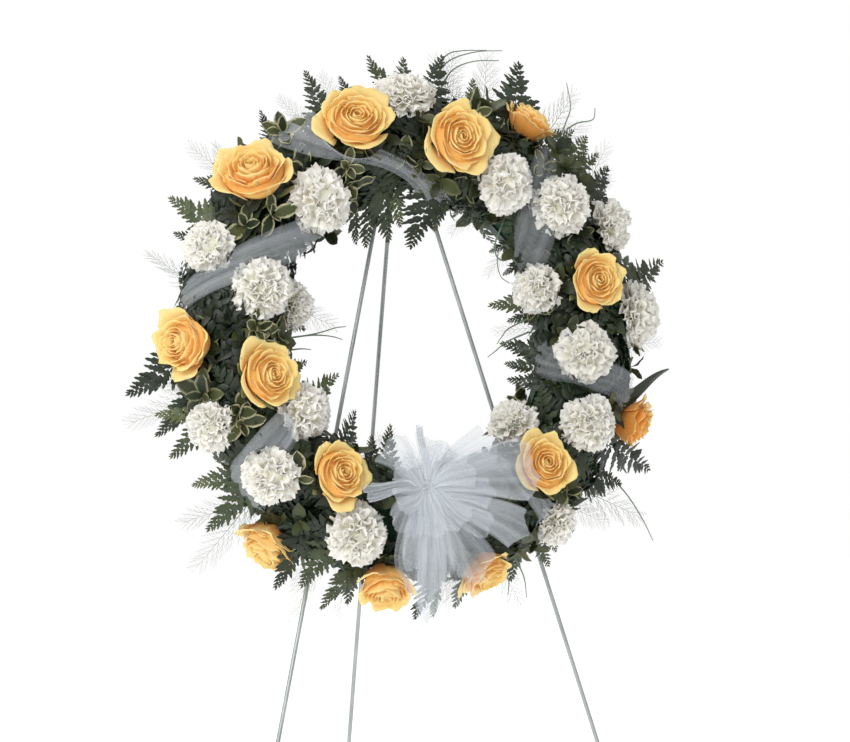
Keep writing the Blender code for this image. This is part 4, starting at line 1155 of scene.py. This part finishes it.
bow = {
    "clock": 190.4, "u": -0.037, "v": 0.118, "rows": 18, "columns": 38, "pleatDepth": 0.0018,
    "rootReach": 0.004, "rootHalf": 0.003, "gape": 0.20, "fallBack": 0.077,
    # degrees from level on the right, length, half width, forward lift, width kept at the fold, cover
    "loops": [
        (267, 0.138, 0.036, -0.004, 0.22, 0.50), (270, 0.148, 0.016, 0.004, 0.5, 0.85),
        (336, 0.136, 0.024, 0.004, 1.0, 1.0), (9, 0.138, 0.036, 0.014, 0.9, 0.85),
        (31, 0.100, 0.024, 0.010, 0.9, 0.85), (303, 0.124, 0.026, 0.000, 0.8, 0.70),
        (180, 0.075, 0.0105, 0.010, 1.0, 1.0), (131, 0.066, 0.024, 0.006, 1.0, 0.9),
        (68, 0.054, 0.022, 0.008, 1.0, 1.0), (90, 0.068, 0.0045, 0.006, 1.0, 1.3),
        (232, 0.060, 0.020, 0.010, 0.8, 0.8), (322, 0.088, 0.016, 0.016, 0.9, 0.8),
        (350, 0.080, 0.017, 0.016, 0.9, 0.9), (254, 0.094, 0.015, 0.010, 0.7, 0.7),
        (20, 0.056, 0.019, 0.020, 0.9, 1.0), (80, 0.046, 0.018, 0.022, 0.9, 1.0),
        (145, 0.048, 0.018, 0.020, 0.9, 1.0), (205, 0.046, 0.017, 0.020, 0.9, 1.0),
        (262, 0.056, 0.018, 0.022, 0.9, 1.0), (310, 0.058, 0.018, 0.020, 0.9, 1.0),
    ],
    "stripWidth": 0.15, "knotRadius": 0.008,
    # the knot from front to back: how far forward, and its share of that radius
    "knot": [(0.0135, 0.25), (0.010, 0.72), (0.004, 1.02), (-0.003, 1.0), (-0.009, 0.75), (-0.012, 0.20)],
}


def bowLoop(centre, degrees, length, half, lift, end, sheer, rng):
    out = cos(radians(degrees)) * across + sin(radians(degrees)) * upward
    beside = np.cross(outward, out)
    a, s = gridLines(bow["rows"], bow["columns"])
    far = np.sin(pi * a) ** 0.80                                   # out to the fold and back
    ragged = 1 + 0.035 * np.sin(s * 5 + rng.uniform(0, 6)) - 0.10 * s * s * (1 + 1.5 * (1 - end))
    reach = bow["rootReach"] + (length - bow["rootReach"]) * far * ragged
    swell = far ** 0.85 * (1 - (1 - end) * far ** 4)
    wide = eased(bow["rootHalf"], half, swell / swell.max())
    pleats, phase = rng.choice([4, 5, 6]), rng.uniform(0, 6)
    depth = bow["pleatDepth"] * (half / 0.03) * far ** 0.7 * pleatWave(s, pleats, phase + 0.5 * a)
    gape = bow["gape"] * half * np.cos(pi * a) * far ** 0.5
    rise = lift * far + 0.005 * np.cos(pi * a) * (1 - far) - bow["fallBack"] * length * far ** 2.4
    slide = 0.003 * np.sin(far * 5 + phase) + 0.0015 * pleatWave(s, pleats * 0.5, phase) * far
    local = stacked(reach, s * wide + slide, rise + depth + gape)
    grid = centre + local[..., :1] * out + local[..., 1:2] * beside + local[..., 2:] * outward
    return openSheet(grid, {
        "pleat": s * pleats + phase, "run": far * length * 10 + phase,
        "hem": np.clip((np.abs(s) - 0.955) / 0.02, 0, 1) * far ** 2,
        "sheer": sheer * (0.62 + 1.5 * (1 - far) ** 1.5)})


def knotPatch(centre):
    turns = np.linspace(0, 2 * pi, 15)[:-1]
    rings = []
    for depth, size in bow["knot"]:
        size = bow["knotRadius"] * size * (1 + 0.10 * np.sin(turns * 7 + depth * 300))
        rings.append(centre + depth * outward + (size * np.cos(turns))[:, None] * across
                     + (size * np.sin(turns))[:, None] * upward)
    return ringSolid(rings, {"pleat": turns * 3, "sheer": 1.3})


def buildBow():
    centre = ringPoint(bow["clock"], bow["u"], bow["v"])
    rng = random.Random("bow")
    loops = [bowLoop(centre, *loop, rng) for loop in bow["loops"]]
    sheetPiece("tulle_bow_loops", loops, "tulle_bow")
    pickAngle = np.degrees(np.arctan2(bow["v"] - wreath["tubeDepth"], bow["u"]))
    pickEnd = tubePoint(bow["clock"], pickAngle, 0.012)
    pickPath = [centre - outward * bow["knotRadius"], (centre + pickEnd) / 2, pickEnd]
    pick = tube(pickPath, wreath["stemRadius"], 8, greenSlot, {"rim": 0.3})
    knot = makePiece("tulle_bow_knot", [knotPatch(centre), pick], [tulleFinish, sepalFinish])


tails = {
    "halfWidth": 0.011, "stripWidth": 0.022, "rows": 40, "columns": 8, "cover": 0.42, "forward": 0.016,
    # sideways bend and tip, drop
    "runs": [(-0.014, -0.016, 0.206), (0.012, 0.034, 0.210), (0.034, 0.064, 0.200)],
}


def buildTails():
    start = ringPoint(bow["clock"], bow["u"], bow["v"] + tails["forward"])
    patches = []
    for k, (bend, tip, drop) in enumerate(tails["runs"]):
        ends = [start + np.array(away) for away in (
            (0, 0, 0), (bend * 0.6, -0.012, -drop * 0.25), (bend * 1.2, -0.016, -drop * 0.60),
            (tip, -0.012, -drop))]
        t, s = gridLines(tails["rows"], tails["columns"])
        path = np.array([curveAt(ends, share) for share in t[:, 0]])
        half = tails["halfWidth"] * (0.25 + 0.75 * np.clip(t * 3.0, 0, 1))
        turn = 0.25 * np.sin(t * 5 + k * 2.1) + 0.2 * k
        fold = 0.0022 * np.sin(pi * 2.2 * s + 3 * t + k) * np.clip(t * 3, 0.3, 1)
        side = np.cos(turn) * across + np.sin(turn) * outward
        grid = path[:, None] + (half * s)[..., None] * side[:, None] + fold[..., None] * outward
        patches.append(openSheet(grid, {"pleat": s * 2 + k, "run": t * drop * 10, "sheer": tails["cover"]}))
    sheetPiece("tulle_tail_strips", patches, "tulle_tails")


garland = {
    "halfWidth": 0.0245, "stripWidth": 0.12, "columns": 30, "pleats": 3.4, "pleatDepth": (0.0004, 0.0015),
    "clearance": 1.02, "veil": 0.5, "cover": 0.68, "swell": 0.28, "crown": 0.006,
    # the band's line over the front: angles round the tube and how far out it lies there
    "angles": [-12, 20, 50, 75, 95, 115, 140, 165, 192],
    "reach": [0.053, 0.066, 0.071, 0.073, 0.073, 0.073, 0.070, 0.064, 0.053],
    "passes": [                                   # clock angle of each pass at those angles
        [229, 232, 235, 238, 240, 243, 246, 248, 250], [279, 280, 284, 289, 294, 301, 308, 313, 315],
        [329, 329, 329, 332, 338, 349, 3, 12, 14], [38, 40, 41, 42, 44, 49, 56, 63, 67],
        [107, 107, 107, 106, 106, 105, 104, 101, 99], [148, 148, 148, 149, 150, 151, 153, 154, 155],
    ],
    "widths": [1.0, 1.0, 1.0, 1.0, 1.0, 0.42], "covers": [1.0, 0.94, 1.0, 0.62, 0.66, 0.9],
    # beyond the ring's middle circle and forward, from pass to pass behind the tray
    "behind": [(-0.0445, -0.0008), (-0.0385, -0.0034), (-0.0130, -0.0036), (0.0130, -0.0036),
               (0.0385, -0.0034), (0.0445, -0.0008)],
}


def garlandStations():
    stations = []
    following = garland["passes"][1:] + [None]
    line = [(reach * cos(radians(angle)), wreath["tubeDepth"] + reach * sin(radians(angle)))
            for angle, reach in zip(garland["angles"], garland["reach"])]
    passes = zip(garland["passes"], following, garland["widths"], garland["covers"])
    for clocks, later, width, cover in passes:
        stations += [(clock, u, v, width, cover) for clock, (u, v) in zip(clocks, line)]
        if later:
            gap, count = (later[0] - clocks[-1]) % 360, len(garland["behind"]) + 1
            stations += [(clocks[-1] + gap * (j + 1) / count, u, v, width, cover)
                         for j, (u, v) in enumerate(garland["behind"])]
    turns = np.degrees(np.unwrap(np.radians([s[0] for s in stations])))
    return [(clock, *rest) for clock, (_, *rest) in zip(turns, stations)]


def buildGarland():
    stations = smoothPath(garlandStations(), 5)
    s = gridLines(1, garland["columns"])[1][0]
    rows, runs = [], []
    ahead = np.gradient(stations, axis=0)
    length, last = 0.0, None
    for (clock, u, v, share, *rest), step in zip(stations, ahead):
        radial, along = clockAxes(clock)
        middle = ringPoint(clock, u, v)
        length += 0.0 if last is None else np.linalg.norm(middle - last)
        last = middle
        normal = unit(radial * step[2] - outward * step[1])
        if (radial * u + outward * (v - wreath["tubeDepth"])) @ normal < 0:
            normal = -normal
        front = min(max((v - 0.004) / 0.03, 0.0), 1.0)              # 0 behind the tray
        half = garland["halfWidth"] * share * (1 + front * garland["swell"] * sin(length * 21 + 1.0))
        wave = pleatWave(s + 0.08 * sin(length * 16), garland["pleats"], length * 9)
        depth = eased(*garland["pleatDepth"], front) * wave - garland["crown"] * front * s * s
        points = middle + (half * s)[:, None] * along + depth[:, None] * normal
        for head in heads:                                          # the band lies on the flowers
            away = points - head["head"]
            distance = np.linalg.norm(away, axis=1, keepdims=True)
            room = garland["clearance"] * head["radius"]
            points = np.where(distance < room, head["head"] + away / distance * room, points)
        rows.append(points)
        runs.append([length * 10])
    band = openSheet(np.array(rows), {
        "pleat": s * garland["pleats"], "run": np.array(runs), "hem": garland["veil"],
        "sheer": garland["cover"] * (1 - 0.50 * s ** 4) * stations[:, 4:5]})
    sheetPiece("tulle_garland_band", [band], "tulle_garland")


net = {"holes": 900.0, "thread": 0.25, "holeCover": 0.78}


def tulleMaterial():
    material, shader = newMaterial("tulleFinish", {
        "Roughness": 0.65, "Specular IOR Level": 0.25, "Sheen Weight": 0.25, "Sheen Roughness": 0.4})
    streaks = combined(attribute("pleat") * 0.55, attribute("run") * 0.14)
    broad = noise(1.0, 1.0, streaks)
    cover = mapped(broad * 0.90 + noise(2.4, 1.0, streaks) * 0.10, 0.34, 0.68, 0.26, 0.54)
    cover = cover + attribute("hem") * 0.25
    cells = put("ShaderNodeTexVoronoi", {"Vector": ownPlace(), "Scale": net["holes"]}, "Distance",
                feature="DISTANCE_TO_EDGE")
    alpha = cover * mapped(cells, 0.0, net["thread"], 1.0, net["holeCover"]) * attribute("sheer")
    connect(put("ShaderNodeClamp", {"Value": alpha, "Min": 0.03, "Max": 0.96}), shader.inputs["Alpha"])
    tint(shader, ramp(broad, (0.30, 0.62, 0.665, 0.71), (0.70, 0.73, 0.77, 0.81)))
    return material


tulleFinish = tulleMaterial()
buildBow()
buildTails()
buildGarland()
print("tulle made")

# The stand, the tray and the foam keep their shapes from the frame and get their finishes

stand = {
    "wireGlint": 0.55, "wireRoughness": 0.42, "drawnMarks": 0.10,
    "wire": ["front_leg_left", "front_leg_right", "rear_leg", "top_crossbar", "stop_bar", "wreath_hook",
             "hanging_loop"],
    "vinyl": ["foot_tip_left", "foot_tip_right", "foot_tip_rear"],
    "plastic": ["ring_tray", "tray_rib_left", "tray_rib_right"], "foam": ["foam_ring"],
}


def wireMaterial():
    material, shader = newMaterial("wireFinish", {"Metallic": stand["wireGlint"]})
    marks, clouds = noise(700.0, 2.0), noise(24.0, 4.0)
    tint(shader, ramp(clouds, (0.30, 0.30, 0.325, 0.325), (0.52, 0.38, 0.405, 0.40),
                      (0.74, 0.47, 0.49, 0.485)))
    worn = mapped(clouds * 0.7 + marks * 0.3, 0.3, 0.7, stand["wireRoughness"] - stand["drawnMarks"],
                  stand["wireRoughness"] + stand["drawnMarks"])
    connect(worn, shader.inputs["Roughness"])
    bump(shader, marks, 0.25, 0.0002)
    return material


def foamPores():
    return put("ShaderNodeTexVoronoi", {"Vector": ownPlace(), "Scale": 620.0}, "Distance")


standFinishes = {
    "wire": wireMaterial(),
    "vinyl": plainMaterial(
        "vinylFinish", {"Roughness": 0.36, "Specular IOR Level": 0.5, "Coat Weight": 0.15,
                        "Coat Roughness": 0.3},
        lambda: noise(160.0), [(0.3, 0.20, 0.215, 0.22), (0.7, 0.30, 0.315, 0.32)],
        lambda: noise(480.0), 0.25, 0.0003),
    "plastic": plainMaterial(
        "trayFinish", {"Roughness": 0.5, "Specular IOR Level": 0.4},
        lambda: noise(14.0, 4.0), [(0.3, 0.020, 0.050, 0.028), (0.7, 0.034, 0.074, 0.042)],
        lambda: noise(1400.0, 2.0), 0.35, 0.0003),
    "foam": plainMaterial(
        "foamFinish", {"Roughness": 0.92, "Specular IOR Level": 0.2},
        lambda: foamPores() * 0.5 + noise(30.0, 4.0) * 0.6,
        [(0.25, 0.014, 0.040, 0.020), (0.55, 0.026, 0.070, 0.036), (0.85, 0.055, 0.120, 0.066)],
        foamPores, 0.6, 0.0008),
}
for finish, material in standFinishes.items():
    for node in stand[finish]:
        for slot in frame["nodes"][node].material_slots:
            slot.material = material
print("stand finished")
